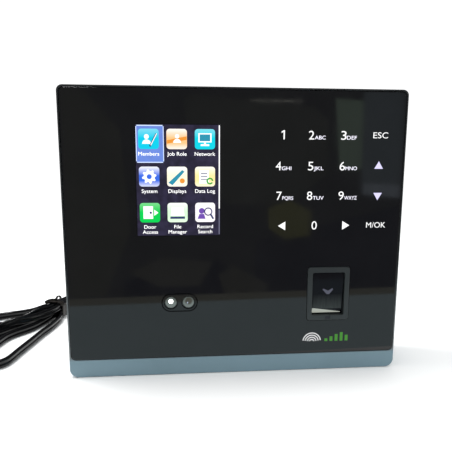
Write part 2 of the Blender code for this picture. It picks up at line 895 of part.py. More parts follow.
def cord_pieces():
    y, z = PLUG_AXIS
    profile = [(5.9, 0.0), (5.9, 4.4), (7.0, PLUG_RADIUS), (27.6, PLUG_RADIUS), (28.6, 4.4)]
    profile += [(28.6, 2.7), (39.4, 2.7), (39.4, 0.0)]
    turned("power_plug", profile, (y, z), "x", black_plastic(), 20)
    relief = [(-18.0, 0.0), (-18.0, 3.1), (5.6, 3.9), (5.6, 0.0)]
    turned("plug_strain_relief", relief, (y, z), "x", rubber(), 16)
    cord_tube("cord_lead", LEAD)
    cord_tube("cord_tail", TAIL)
    outline = smooth_route([(a, b, 0.0) for a, b in HANK], 6.0, closed=True)[:-1]
    prism("cord_hank", [(p.x, p.y) for p in outline], 0.1, HANK_TOP, "z", rubber())


def cord_tie():
    """A twist tie: a staple over the neck of the hank, with its twisted ends standing up."""
    inner, outer = 7.6, 8.8
    profile = [
        (-outer, 0.1),
        (-inner, 0.1),
        (-inner, HANK_TOP + GAP),
        (inner, HANK_TOP + GAP),
        (inner, 0.1),
        (outer, 0.1),
        (outer, HANK_TOP + 1.5),
        (1.5, HANK_TOP + 1.5),
        (1.0, HANK_TOP + 5.0),
        (-1.0, HANK_TOP + 5.0),
        (-1.5, HANK_TOP + 1.5),
        (-outer, HANK_TOP + 1.5),
    ]
    mesh = prism_mesh("cord_tie", profile, -2.0, 2.0, "y")
    tie = add_object("cord_tie", mesh, rubber(), (*TIE, 0.0))
    tie.rotation_euler = Matrix.Rotation(math.radians(-18.0), 3, "Z").to_euler()


def adapter():
    x0, y0, x1, y1 = ADAPTER
    body = prism(
        "power_adapter",
        rounded(x0, y0, x1, y1, 4.0, 4),
        0.0,
        ADAPTER_HEIGHT,
        "z",
        black_plastic(),
    )
    bevel_edges(body, 1.5, 2, 60.0)
    x, z = (x0 + x1) / 2, ADAPTER_HEIGHT / 2
    boss = prism("adapter_boss", circle(x, z, 4.5, 16), y1 - 3.0, y1 + 4.6, "y")
    join(body, boss)
    for side, y in (("near", -PIN_PITCH / 2), ("far", PIN_PITCH / 2)):
        centre = ((y0 + y1) / 2 + y, z)
        socket = prism(f"pin_socket_{side}", circle(*centre, PIN_RADIUS + GAP), x1 - 4, x1 + 5, "x")
        cut(body, socket)
        profile = [(x1 - 3.7, 0.0), (x1 - 3.7, PIN_RADIUS), (x1 + PIN_LENGTH - 1, PIN_RADIUS)]
        profile += [(x1 + PIN_LENGTH, PIN_RADIUS - 0.9), (x1 + PIN_LENGTH, 0.0)]
        turned(f"adapter_pin_{side}", profile, centre, "x", steel(), 16)


def main():
    clear_scene()
    front_housing()
    front_panel()
    panel_tape()
    display()
    keypad()
    camera()
    fingerprint_sensor()
    card_antenna()
    main_board()
    board_parts()
    connectors()
    reset()
    tamper()
    speaker()
    rear_housing()
    wall_plate()
    screws()
    usb_cover()
    cord_pieces()
    cord_tie()
    adapter()


main()
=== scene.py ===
"""Looks of the fingerprint scanner terminal: its shells, print, screen, boards, cord and
materials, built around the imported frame. Metres, +Z up, -Y out of the terminal's front."""

import json
import math

import bmesh
import bpy
from mathutils import Matrix, Vector


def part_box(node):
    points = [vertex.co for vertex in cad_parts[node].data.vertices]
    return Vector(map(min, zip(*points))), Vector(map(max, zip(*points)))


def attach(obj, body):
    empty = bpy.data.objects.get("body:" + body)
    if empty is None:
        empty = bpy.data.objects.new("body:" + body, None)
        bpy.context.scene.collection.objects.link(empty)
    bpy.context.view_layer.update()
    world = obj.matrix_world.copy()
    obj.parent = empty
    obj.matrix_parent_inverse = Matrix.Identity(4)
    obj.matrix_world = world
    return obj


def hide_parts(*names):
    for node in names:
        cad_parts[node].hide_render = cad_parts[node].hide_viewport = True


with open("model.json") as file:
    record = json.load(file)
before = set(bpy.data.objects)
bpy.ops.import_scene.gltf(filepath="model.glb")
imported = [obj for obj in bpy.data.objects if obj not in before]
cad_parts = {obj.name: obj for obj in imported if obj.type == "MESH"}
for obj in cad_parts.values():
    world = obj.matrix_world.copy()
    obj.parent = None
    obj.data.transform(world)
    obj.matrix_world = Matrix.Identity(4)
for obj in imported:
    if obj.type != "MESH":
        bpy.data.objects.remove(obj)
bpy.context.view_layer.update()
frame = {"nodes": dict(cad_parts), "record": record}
NODES = frame["nodes"]
TERMINAL = "terminal"

# Cord: a flat twin lead lying on its edge, CORD_WIDTH across
CORD_WIDTH = 0.0054
CONDUCTOR = CORD_WIDTH / 4
LOW_LAYER = 0.0028
HIGH_LAYER = 0.0082
LANE = 0.0034
TIE = Vector((-0.123, 0.080, 0.0))
TIE_TURN = math.radians(-18.0)
ROUTE_STEP = 0.0018

# The route's points follow; those with only x and y lie on one of the two layers.
# The lead's own points, the same as the CAD tube's
LEAD = (
    (-0.0183, 0.0066, 0.0245), (-0.0270, 0.0072, 0.0243), (-0.0370, 0.0100, 0.0234),
    (-0.0460, 0.0160, 0.0210), (-0.0535, 0.0255, 0.0166), (-0.0590, 0.0370, 0.0108),
    (-0.0620, 0.0485, 0.0060), (-0.0635, 0.0600, 0.0034), (-0.0630, 0.0710), (-0.0610, 0.0820),
    (-0.0584, 0.0925), (-0.0580, 0.1026), (-0.0596, 0.1086), (-0.0640, 0.1130),
)
# The tail's points, the same as the CAD tube's, from the hank to the adapter
TAIL = (
    (-0.0640, 0.1134, 0.0084), (-0.0570, 0.1125, 0.0083), (-0.0489, 0.1123, 0.0062),
    (-0.0405, 0.1134, 0.0040), (-0.0315, 0.1170, 0.0030), (-0.0210, 0.1215, 0.0046),
    (-0.0100, 0.1220, 0.0086), (-0.0020, 0.1155, 0.0126), (0.0000, 0.1060, 0.0147),
    (0.0000, 0.0989, 0.0150),
)
# Middle of the bundle of six passes, from the tie to the rear folds
SPINE = (
    (-0.1230, 0.0800), (-0.1196, 0.0915), (-0.1126, 0.1023), (-0.1030, 0.1100), (-0.0920, 0.1148),
    (-0.0805, 0.1173), (-0.0700, 0.1180),
)
# Rear fold, from the middle lane round to the outer lane
REAR_FOLD = (
    (-0.0635, 0.1178), (-0.0555, 0.1168), (-0.0468, 0.1162), (-0.0398, 0.1184), (-0.0357, 0.1246),
    (-0.0360, 0.1322), (-0.0405, 0.1380), (-0.0478, 0.1393), (-0.0543, 0.1358), (-0.0588, 0.1295),
    (-0.0642, 0.1240),
)
# Front loops between two passes of the tie
LOOP_FRONT = (
    (-0.1184, 0.0690, 0.0029), (-0.1200, 0.0550), (-0.1228, 0.0420), (-0.1252, 0.0270),
    (-0.1276, 0.0130), (-0.1286, 0.0060), (-0.1302, -0.0002), (-0.1343, -0.0043),
    (-0.1401, -0.0057), (-0.1458, -0.0040), (-0.1500, 0.0003), (-0.1512, 0.0060),
    (-0.1491, 0.0120), (-0.1465, 0.0195), (-0.1450, 0.0280), (-0.1433, 0.0370), (-0.1400, 0.0432),
    (-0.1353, 0.0490), (-0.1310, 0.0560), (-0.1270, 0.0670, 0.0030),
)
LOOP_OUTER = (
    (-0.1295, 0.0740, 0.0031), (-0.1334, 0.0665), (-0.1384, 0.0580), (-0.1444, 0.0500),
    (-0.1495, 0.0425), (-0.1547, 0.0367), (-0.1610, 0.0328), (-0.1685, 0.0320), (-0.1760, 0.0352),
    (-0.1815, 0.0412), (-0.1832, 0.0490), (-0.1808, 0.0575), (-0.1747, 0.0672), (-0.1660, 0.0748),
    (-0.1565, 0.0789, 0.0030), (-0.1480, 0.0795, 0.0038), (-0.1395, 0.0786, 0.0055),
    (-0.1318, 0.0785, 0.0080),
)
LOOP_INNER = (
    (-0.1265, 0.0727, 0.0089), (-0.1325, 0.0680, 0.0090), (-0.1392, 0.0632, 0.0066),
    (-0.1460, 0.0596, 0.0038), (-0.1530, 0.0580, 0.0029), (-0.1605, 0.0583), (-0.1670, 0.0590),
    (-0.1733, 0.0579), (-0.1775, 0.0525), (-0.1782, 0.0458), (-0.1742, 0.0398), (-0.1672, 0.0369),
    (-0.1600, 0.0390, 0.0029), (-0.1540, 0.0436, 0.0044), (-0.1488, 0.0474, 0.0068),
    (-0.1430, 0.0505, 0.0083), (-0.1365, 0.0540, 0.0084), (-0.1300, 0.0600, 0.0084),
    (-0.1232, 0.0690, 0.0088),
)


# ---- cord route


def smooth_route(points, spacing):
    """A Catmull-Rom curve through the points, read about every spacing metres."""
    points = [Vector(p) for p in points]
    padded = [2 * points[0] - points[1], *points, 2 * points[-1] - points[-2]]
    route = []
    for k in range(len(points) - 1):
        a, b, c, d = padded[k : k + 4]
        slope, bend, twist = c - a, 2 * a - 5 * b + 4 * c - d, 3 * b - a - 3 * c + d
        steps = max(1, round((c - b).length / spacing))
        for j in range(steps):
            t = j / steps
            route.append(b + 0.5 * t * (slope + t * (bend + t * twist)))
    route.append(points[-1])
    return route


def at_height(points, height=LOW_LAYER):
    """The points, with height for those that have only x and y."""
    return [(*p, height)[:3] for p in points]


def bundle_pass(lane, height, towards_rear):
    """The points of one pass along the bundle, lane strands to the terminal's side of its
    middle. It is lifted a little where the tie goes under it."""
    spine = [Vector(p) for p in SPINE]
    points = []
    for k, middle in enumerate(spine):
        along = spine[min(k + 1, len(spine) - 1)] - spine[max(k - 1, 0)]
        side = Vector((along.y, -along.x)).normalized() * lane * LANE
        lift = 0.0009 if k == 0 else 0.0
        points.append((middle.x + side.x, middle.y + side.y, height + lift))
    return points if towards_rear else points[::-1]


def cord_route():
    """Lead, three front loops and two rear folds held by the tie, then the tail."""
    return [
        *at_height(LEAD),
        *bundle_pass(1, LOW_LAYER, False),
        *at_height(LOOP_FRONT),
        *bundle_pass(0, LOW_LAYER, True),
        *at_height(REAR_FOLD),
        *bundle_pass(-1, LOW_LAYER, False),
        *at_height(LOOP_OUTER),
        *bundle_pass(-1, HIGH_LAYER, True),
        *at_height(REAR_FOLD[::-1], HIGH_LAYER),
        *bundle_pass(0, HIGH_LAYER, False),
        *at_height(LOOP_INNER),
        *bundle_pass(1, HIGH_LAYER, True),
        *TAIL,
    ]


# ---- mesh helpers


def mesh_from(name, verts, faces, merge=1e-7):
    """A mesh with points closer than merge made one, and its faces turned outwards."""
    mesh = bpy.data.meshes.new(name)
    mesh.from_pydata([tuple(v) for v in verts], [], faces)
    bm = bmesh.new()
    bm.from_mesh(mesh)
    bmesh.ops.remove_doubles(bm, verts=bm.verts, dist=merge)
    bmesh.ops.recalc_face_normals(bm, faces=bm.faces)
    bm.to_mesh(mesh)
    bm.free()
    return mesh


def placed(a, b, along, axis):
    """A point from its two cross coordinates, in X, Y, Z order, and its place along an axis."""
    return {"x": (along, a, b), "y": (a, along, b), "z": (a, b, along)}[axis]


def loft(name, rings, axis=None, closed_ends=True, merge=1e-7):
    """A piece skinned over rings of the same number of points. With an axis, each ring is
    (outline, along); otherwise its points are complete."""
    if axis is not None:
        rings = [[placed(a, b, along, axis) for a, b in outline] for outline, along in rings]
    count = len(rings[0])
    last = (len(rings) - 1) * count
    faces = []
    for low in range(0, last, count):
        for j in range(count):
            i = (j + 1) % count
            faces.append((low + j, low + i, low + count + i, low + count + j))
    if closed_ends:
        faces += [tuple(range(count))[::-1], tuple(range(last, last + count))]
    return object_of(name, mesh_from(name, [p for ring in rings for p in ring], faces, merge))


def object_of(name, mesh):
    """A new object in the scene with the mesh."""
    o = bpy.data.objects.new(name, mesh)
    bpy.context.scene.collection.objects.link(o)
    return o


def bow(a, b, r, start, turn, steps):
    """Points along a circle about (a, b), from start degrees on through turn degrees."""
    angles = [math.radians(start + turn * k / steps) for k in range(steps + 1)]
    return [(a + r * math.cos(t), b + r * math.sin(t)) for t in angles]


def rounded(a0, b0, a1, b1, r, steps=14):
    """A rectangle with rounded corners, from the low-low corner anticlockwise."""
    middles = ((a0 + r, b0 + r), (a1 - r, b0 + r), (a1 - r, b1 - r), (a0 + r, b1 - r))
    points = []
    for start, (a, b) in zip((180, 270, 0, 90), middles, strict=True):
        points += bow(a, b, r, start, 90, steps)
    return points


def circle(a, b, r, steps=48):
    """Points round a whole circle about (a, b)."""
    return bow(a, b, r, 0, 360, steps)[:-1]


def pill(a, b, reach, r, steps=20):
    """A straight slot with round ends, reach to each end's centre."""
    return bow(a + reach, b, r, -90, 180, steps) + bow(a - reach, b, r, 90, 180, steps)


def rectangle(a0, b0, a1, b1):
    """A rectangle's four corners."""
    return [(a0, b0), (a1, b0), (a1, b1), (a0, b1)]


def prism(name, outline, low, high, axis):
    """An outline drawn out from low to high along an axis."""
    return loft(name, [(outline, low), (outline, high)], axis)


def slab(name, x, z, wide, tall, back, rise):
    """A block from its middle and size in x and z, standing rise off the plane y = back."""
    outline = rectangle(x - wide / 2, z - tall / 2, x + wide / 2, z + tall / 2)
    return prism(name, outline, back, back + rise, "y")


def turned(name, profile, centre, axis, steps=48):
    """A solid of revolution from (along, radius) pairs, closed where the radius is 0."""
    rings = [(circle(*centre, max(r, 1e-6), steps), along) for along, r in profile]
    return loft(name, rings, axis, merge=4e-6)


def baked(o):
    """The object with its modifiers made real."""
    graph = bpy.context.evaluated_depsgraph_get()
    mesh = bpy.data.meshes.new_from_object(o.evaluated_get(graph))
    o.modifiers.clear()
    o.data = mesh
    return o


def cut(target, *tools):
    """The target with the tools' shapes taken out of it."""
    for tool in tools:
        modifier = target.modifiers.new(tool.name, "BOOLEAN")
        modifier.operation = "DIFFERENCE"
        modifier.object = tool
        modifier.solver = "EXACT"
    baked(target)
    for tool in tools:
        bpy.data.objects.remove(tool, do_unlink=True)
    return target


def joined(name, pieces):
    """Several pieces as one object, with their meshes put side by side."""
    bm = bmesh.new()
    for o in pieces:
        bm.from_mesh(o.data)
    mesh = bpy.data.meshes.new(name)
    bm.to_mesh(mesh)
    bm.free()
    for o in pieces:
        bpy.data.objects.remove(o, do_unlink=True)
    return object_of(name, mesh)


def eased(o, width, segments=3, angle=30.0):
    """Edges sharper than angle are rounded, and the shading follows the faces."""
    bevel = o.modifiers.new("edges", "BEVEL")
    bevel.width = width
    bevel.segments = segments
    bevel.limit_method = "ANGLE"
    bevel.angle_limit = math.radians(angle)
    bevel.use_clamp_overlap = True
    return shaded(o)


def shaded(o, angle=35.0):
    """Smooth shading in which edges sharper than angle stay sharp."""
    o.data.shade_smooth()
    o.data.set_sharp_from_angle(angle=math.radians(angle))
    weighted = o.modifiers.new("shading", "WEIGHTED_NORMAL")
    weighted.keep_sharp = True
    return o


def finish(o, look, replaces=(), smooth=None):
    """The piece's material by its name in LOOKS, its body and the CAD nodes it
    stands for. Edges sharper than smooth degrees stay sharp."""
    if smooth is not None:
        shaded(o, smooth)
    o.data.materials.clear()
    o.data.materials.append(LOOKS[look])
    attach(o, TERMINAL)
    if replaces:
        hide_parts(*replaces)
    return o


def span(node):
    """A CAD node's left, low, right and high sides in x and z."""
    low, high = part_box(node)
    return low.x, low.z, high.x, high.z


def grown(box, by):
    """The box with its four sides moved out."""
    return box[0] - by, box[1] - by, box[2] + by, box[3] + by


# ---- materials


class Look:
    """A material under construction: a Principled shader with nodes hung on it."""

    def __init__(self, name):
        self.material = bpy.data.materials.new(name)
        self.material.use_nodes = True
        self.tree = self.material.node_tree
        self.shader = self.tree.nodes["Principled BSDF"]
        self.places = self.tree.nodes.new("ShaderNodeTexCoord").outputs
        self.place = self.places["Object"]

    def plug(self, value, socket):
        """A value, a plain colour or another node's output goes into a socket."""
        if isinstance(value, bpy.types.NodeSocket):
            self.tree.links.new(value, socket)
        elif socket.type == "RGBA":
            socket.default_value = (*value, 1.0)
        else:
            socket.default_value = value

    def node(self, kind, inputs, **settings):
        """A shader node with its settings and inputs filled in."""
        made = self.tree.nodes.new(kind)
        for key, value in settings.items():
            setattr(made, key, value)
        for key, value in inputs.items():
            self.plug(value, made.inputs[key])
        return made

    def noise(self, size, detail=3.0, place=None):
        """Noise with features about size metres across, from 0 to 1."""
        inputs = {"Vector": place or self.place, "Scale": 1 / size, "Detail": detail}
        return self.node("ShaderNodeTexNoise", inputs).outputs["Fac"]

    def cells(self, count, low, high):
        """1 inside dots at count cells to the metre, falling to 0 from low to high."""
        inputs = {"Vector": self.place, "Scale": count, "Randomness": 1.0}
        distance = self.node("ShaderNodeTexVoronoi", inputs).outputs["Distance"]
        return self.ranged(distance, low, high, 1.0, 0.0)

    def stretched(self, scale, turn=(0.0, 0.0, 0.0)):
        """The surface's place, turned and scaled."""
        inputs = {"Vector": self.place, "Scale": scale, "Rotation": turn}
        return self.node("ShaderNodeMapping", inputs).outputs["Vector"]

    def along(self, letter, places="Object"):
        """One coordinate of the surface's place."""
        inputs = {"Vector": self.places[places]}
        return self.node("ShaderNodeSeparateXYZ", inputs).outputs[letter]

    def ranged(self, value, low, high, to_low, to_high):
        """The value's stretch from low to high brought to to_low to to_high."""
        inputs = {"Value": value, "From Min": low, "From Max": high}
        inputs |= {"To Min": to_low, "To Max": to_high}
        return self.node("ShaderNodeMapRange", inputs).outputs["Result"]

    def mixed(self, factor, first, second):
        """The first colour where factor is 0, the second where it is 1."""
        made = self.node("ShaderNodeMix", {}, data_type="RGBA")
        values = {"Factor_Float": factor, "A_Color": first, "B_Color": second}
        for socket in made.inputs:
            if socket.identifier in values:
                self.plug(values[socket.identifier], socket)
        return made.outputs[2]

    def maths(self, operation, first, second):
        """The result of one operation on two values."""
        return self.node("ShaderNodeMath", {0: first, 1: second}, operation=operation).outputs[0]

    def into(self, socket, value):
        """Sets or feeds one of the main shader's sockets."""
        self.plug(value, self.shader.inputs[socket])

    def colour(self, colour, amount, size):
        """Base colour that drifts lighter and darker by amount."""
        darker = [c * (1 - amount) for c in colour]
        lighter = [min(1.0, c * (1 + amount)) for c in colour]
        drift = self.ranged(self.noise(size), 0.3, 0.7, 0.0, 1.0)
        self.into("Base Color", self.mixed(drift, darker, lighter))

    def rough(self, roughness, amount, size):
        """Roughness that drifts by amount either way."""
        value = self.noise(size, 4.0)
        self.into("Roughness", self.ranged(value, 0.3, 0.7, roughness - amount, roughness + amount))

    def relief(self, height, value):
        """Bumps height metres tall that follow a value."""
        inputs = {"Height": value, "Distance": height, "Strength": 1.0}
        self.into("Normal", self.node("ShaderNodeBump", inputs).outputs["Normal"])


def moulded(name, colour, roughness, grain=0.00002, grain_size=0.00035, **sockets):
    """Moulded plastic or rubber: a fine grain, with slight drifts of colour and gloss."""
    look = Look(name)
    look.colour(colour, 0.12, 0.012)
    look.rough(roughness, 0.06, 0.006)
    if grain:
        look.relief(grain, look.noise(grain_size, 2.0))
    for key, value in sockets.items():
        look.into(key.replace("_", " "), value)
    return look.material


def metal(name, colour, roughness, along=(1.0, 1.0, 1.0), scratch=0.000004):
    """Metal with fine drawn lines; along stretches them."""
    look = Look(name)
    look.colour(colour, 0.1, 0.008)
    look.into("Metallic", 1.0)
    lines = look.noise(0.0004, 4.0, look.stretched(along))
    look.into("Roughness", look.ranged(lines, 0.3, 0.7, roughness - 0.08, roughness + 0.1))
    look.relief(scratch, lines)
    return look.material


def painted_housing():
    """Blue-grey satin paint with a very fine orange-peel grain. The front rim above the chin is
    a darker second tone; a painted reflection of the pale table lightens its lower part and
    fades out higher up."""
    look = Look("blue_grey_housing")
    height = look.along("Z")
    drift = look.ranged(look.noise(0.03), 0.3, 0.7, 0.0, 1.0)
    paint = look.mixed(drift, (0.118, 0.196, 0.236), (0.130, 0.215, 0.260))
    front = look.ranged(look.along("Y"), -0.0163, -0.0160, 1.0, 0.0)
    rim = look.maths("MULTIPLY", front, look.ranged(height, 0.009, 0.011, 0.0, 1.0))
    # Painted reflection of the pale table: the rim's lower part is lighter, fading to its own dark
    # tone between 30 and 60 mm up.
    table_reflection_fade = look.ranged(height, 0.03, 0.06, 0.0, 1.0)
    edge = look.mixed(table_reflection_fade, (0.11, 0.125, 0.13), (0.016, 0.019, 0.02))
    look.into("Base Color", look.mixed(rim, paint, edge))
    look.rough(0.42, 0.05, 0.004)
    look.relief(0.000012, look.noise(0.0005, 3.0))
    look.into("Coat Weight", 0.15)
    look.into("Coat Roughness", 0.25)
    return look.material


def gloss_panel():
    """Black-backed glass with a little dust and faint wiping marks."""
    look = Look("gloss_black_panel")
    look.colour((0.0045, 0.0045, 0.005), 0.15, 0.02)
    specks = look.cells(420.0, 0.03, 0.06)
    wipes = look.noise(0.006, 5.0, look.stretched((1.0, 1.0, 0.25), (0.0, 0.5, 0.0)))
    soft = look.ranged(wipes, 0.35, 0.75, 0.035, 0.075)
    look.into("Roughness", look.maths("ADD", soft, look.maths("MULTIPLY", specks, 0.12)))
    look.into("IOR", 1.5)
    return look.material


def circuit_board():
    """Solder-masked board: buried traces and bare pads."""
    look = Look("circuit_board")
    bricks = {"Vector": look.stretched((1.0, 1.0, 1.0), (math.pi / 2, 0.0, 0.0)), "Scale": 260.0}
    bricks |= {"Mortar Size": 0.045, "Brick Width": 1.7, "Row Height": 0.35}
    traces = look.node("ShaderNodeTexBrick", bricks, offset=0.37).outputs["Fac"]
    region = look.ranged(look.noise(0.012, 2.0), 0.48, 0.5, 0.0, 1.0)
    lines = look.maths("MULTIPLY", traces, region)
    dots = look.cells(330.0, 0.16, 0.19)
    green = look.mixed(lines, (0.012, 0.085, 0.045), (0.03, 0.19, 0.09))
    look.into("Base Color", look.mixed(dots, green, (0.32, 0.3, 0.2)))
    look.into("Metallic", look.maths("MULTIPLY", dots, 0.8))
    look.rough(0.32, 0.05, 0.004)
    look.relief(0.00003, look.maths("ADD", lines, look.maths("MULTIPLY", dots, 0.6)))
    look.into("Coat Weight", 0.3)
    return look.material


def glowing(name, colour, strength, vary=0.0):
    """A lit print or picture area; the colour drifts a little when vary is set."""
    look = Look(name)
    look.into("Base Color", [c * 0.2 for c in colour])
    look.into("Roughness", 0.25)
    if vary:
        drift = look.ranged(look.noise(0.004, 1.0), 0.35, 0.65, 0.0, 1.0)
        colour = look.mixed(drift, [c * (1 - vary) for c in colour], colour)
    look.into("Emission Color", colour)
    look.into("Emission Strength", strength)
    return look.material


def cord_jacket():
    """Glossy black PVC, faintly uneven along its length."""
    look = Look("cord_jacket")
    look.colour((0.0022, 0.0022, 0.0026), 0.25, 0.02)
    look.rough(0.17, 0.04, 0.01)
    look.relief(0.00001, look.noise(0.0008, 3.0))
    look.into("Specular IOR Level", 0.34)
    return look.material


def prism_table_reflection():
    """Dark glass with a painted reflection of the pale table: grey-green towards its lower edge,
    with fine upright lines.
    """
    look = Look("prism_lower_reflection")
    reflection_down = look.ranged(look.along("Z"), 0.0352, 0.0440, 1.0, 0.0)
    grain = look.noise(0.0005, 2.0, look.stretched((1.0, 1.0, 0.04)))
    amount = look.maths("MULTIPLY", reflection_down, look.ranged(grain, 0.3, 0.7, 0.7, 1.2))
    look.into("Base Color", look.mixed(amount, (0.003, 0.003, 0.005), (0.034, 0.041, 0.041)))
    look.into("Roughness", 0.25)
    look.into("Specular IOR Level", 0.12)
    return look.material


# Plastics and rubbers: colour and roughness, then the grain's height and size where unusual
PLASTICS = {
    "camera_trim": ((0.006, 0.006, 0.007), 0.16, 0.0),
    "iris": ((0.05, 0.048, 0.036), 0.3, 0.0),
    "display": ((0.004, 0.004, 0.006), 0.08, 0.0),
    "bezel": ((0.018, 0.0225, 0.024), 0.38, 0.000008),
    # Painted shade for the bezel's notch: a dark plate where the recess is in shade
    "notch_painted_shade": ((0.008, 0.007, 0.016), 0.5, 0.0),
    "black_moulding": ((0.014, 0.014, 0.015), 0.45, 0.00003),
    "foam_tape": ((0.02, 0.02, 0.02), 0.9, 0.0001, 0.0006),
    "white_moulding": ((0.7, 0.7, 0.66), 0.42, 0.00001),
    "ribbon": ((0.5, 0.2, 0.03), 0.35, 0.0),
    "relay_case": ((0.015, 0.07, 0.28), 0.35),
    "terminal_plastic": ((0.02, 0.22, 0.08), 0.4),
    "capacitor_sleeve": ((0.012, 0.014, 0.03), 0.25, 0.0),
    "cover_rubber": ((0.02, 0.021, 0.022), 0.62, 0.00003),
    "tie_jacket": ((0.016, 0.012, 0.009), 0.4, 0.00002),
    "jack_lamp_green": ((0.1, 0.5, 0.15), 0.2, 0.0),
    "jack_lamp_amber": ((0.8, 0.35, 0.04), 0.2, 0.0),
    "package": ((0.012, 0.012, 0.013), 0.5, 0.00002, 0.0003),
    "small_part": ((0.16, 0.1, 0.06), 0.4, 0.0),
}
# Metals: colour and roughness, then how the drawn lines are stretched and how deep they are
METALS = {
    "plated_steel": ((0.62, 0.62, 0.6), 0.28, (0.2, 1.0, 1.0)),
    "fastener_steel": ((0.42, 0.42, 0.43), 0.33),
    "plate_steel": ((0.5, 0.51, 0.52), 0.36, (0.15, 1.0, 1.0), 0.000006),
    "pin_metal": ((0.72, 0.7, 0.66), 0.2, (0.2, 1.0, 1.0)),
    "gold_contact": ((0.83, 0.6, 0.2), 0.25),
    "solder": ((0.66, 0.66, 0.64), 0.3),
}
# Prints and picture areas that give light, with the painted glow of the sensor's mark and the
# prism's painted reflections and highlight: colour and strength, then the colour's drift
LIT = {
    "legend": ((1.0, 1.0, 1.0), 0.95),
    "legend_lilac": ((0.72, 0.68, 1.0), 0.95),
    "legend_small": ((0.9, 0.88, 1.0), 1.3),
    "words": ((1.0, 1.0, 1.0), 1.4),
    "ground": ((0.026, 0.022, 0.052), 1.0, 0.5),
    "highlight": ((0.14, 0.24, 0.68), 1.0, 0.1),
    "pale_blue": ((0.62, 0.74, 1.0), 1.0),
    "white": ((1.0, 1.0, 1.0), 1.0),
    "track": ((0.2, 0.2, 0.3), 0.6),
    "orange": ((0.85, 0.3, 0.03), 0.9),
    "dark": ((0.03, 0.05, 0.16), 0.8),
    "teal": ((0.02, 0.28, 0.42), 0.9),
    "green": ((0.05, 0.4, 0.05), 0.9),
    "violet": ((0.16, 0.07, 0.42), 0.9),
    "lamp": ((1.0, 1.0, 1.0), 4.0),
    # Print below the sensor, made to glow: painted light, not a lamp
    "mark_white_painted_glow": ((0.9, 0.9, 0.9), 0.6),
    "mark_green_painted_glow": ((0.08, 0.42, 0.02), 0.35),
    # Painted reflections and highlight on the prism's glass
    "prism_pale_reflection": ((0.07, 0.07, 0.10), 0.9),
    "prism_wedge_highlight": ((0.34, 0.36, 0.32), 0.95),
}
LOOKS = {
    "housing": painted_housing(),
    "panel": gloss_panel(),
    "lens": moulded("lens", (0.11, 0.13, 0.12), 0.12, 0.0, Coat_Weight=1.0, Coat_Roughness=0.03),
    "prism_glass": moulded("prism_glass", (0.003, 0.003, 0.005), 0.09, 0.0, Specular_IOR_Level=0.12),
    "prism_lower_reflection": prism_table_reflection(),
    "circuit_board": circuit_board(),
    "cord_jacket": cord_jacket(),
    **{name: moulded(name, *values) for name, values in PLASTICS.items()},
    **{name: metal(name, *values) for name, values in METALS.items()},
    **{name: glowing(f"{name}_light", *values) for name, values in LIT.items()},
}


# How far each CAD node's edges are rounded; the rest take PLAIN_EDGE
PLAIN_EDGE = 0.00012
EDGES = {
    "front_housing": 0.00035,
    "rear_housing": 0.0003,
    "wall_plate": 0.00015,
    "sensor_bezel": 0.00025,
    "usb_cover": 0.0003,
    "network_jack": 0.0002,
    "terminal_block_left": 0.0002,
    "terminal_block_right": 0.0002,
    "power_socket": 0.00025,
}


def dress_cad_nodes():
    """Every CAD node that still shows gets its slot's material and rounded edges."""
    for part in frame["record"]["subparts"]:
        node = part["node"]
        o = NODES[node]
        o.data.materials.clear()
        o.data.materials.append(LOOKS[part["material_slot"]])
        o.data.shade_smooth()
        weld = o.modifiers.new("weld", "WELD")
        weld.merge_threshold = 0.000002
        flats = o.modifiers.new("whole_flats", "DECIMATE")
        flats.decimate_type = "DISSOLVE"
        flats.angle_limit = math.radians(0.5)
        bevel = o.modifiers.new("edges", "BEVEL")
        bevel.width = EDGES.get(node, PLAIN_EDGE)
        bevel.segments = 2
        bevel.limit_method = "ANGLE"
        bevel.angle_limit = math.radians(40.0)
        bevel.use_clamp_overlap = True
        weighted = o.modifiers.new("shading", "WEIGHTED_NORMAL")
        weighted.weight = 80


# ---- cord and what is on it


def twin_section(steps=8):
    """Figure-of-eight section as (across, up) pairs, two conductors one over the other."""
    upper = bow(0.0, CONDUCTOR, CONDUCTOR, -55, 290, steps)
    return upper + bow(0.0, -CONDUCTOR, CONDUCTOR, 125, 290, steps)


def swept(name, path, section, up=(0.0, 0.0, 1.0)):
    """A section of (across, up) pairs carried along a path."""
    rings = []
    last = len(path) - 1
    for k, middle in enumerate(path):
        tangent = (path[min(k + 1, last)] - path[max(k - 1, 0)]).normalized()
        upright = Vector(up) - Vector(up).dot(tangent) * tangent
        upright.normalize()
        across = tangent.cross(upright)
        rings.append([middle + across * a + upright * b for a, b in section])
    return loft(name, rings)


def twin_lead():
    """The whole cord as one piece, with its route."""
    route = smooth_route(cord_route(), ROUTE_STEP)
    cord = swept("power_cord", route, twin_section())
    finish(cord, "cord_jacket", smooth=60.0)
    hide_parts("cord_lead", "cord_tail", "cord_hank")
    return cord, route


def oval(width, thickness, steps=10):
    """An oval section as (across, up) pairs."""
    turn = [2 * math.pi * k / steps for k in range(steps)]
    return [(thickness / 2 * math.cos(t), width / 2 * math.sin(t)) for t in turn]


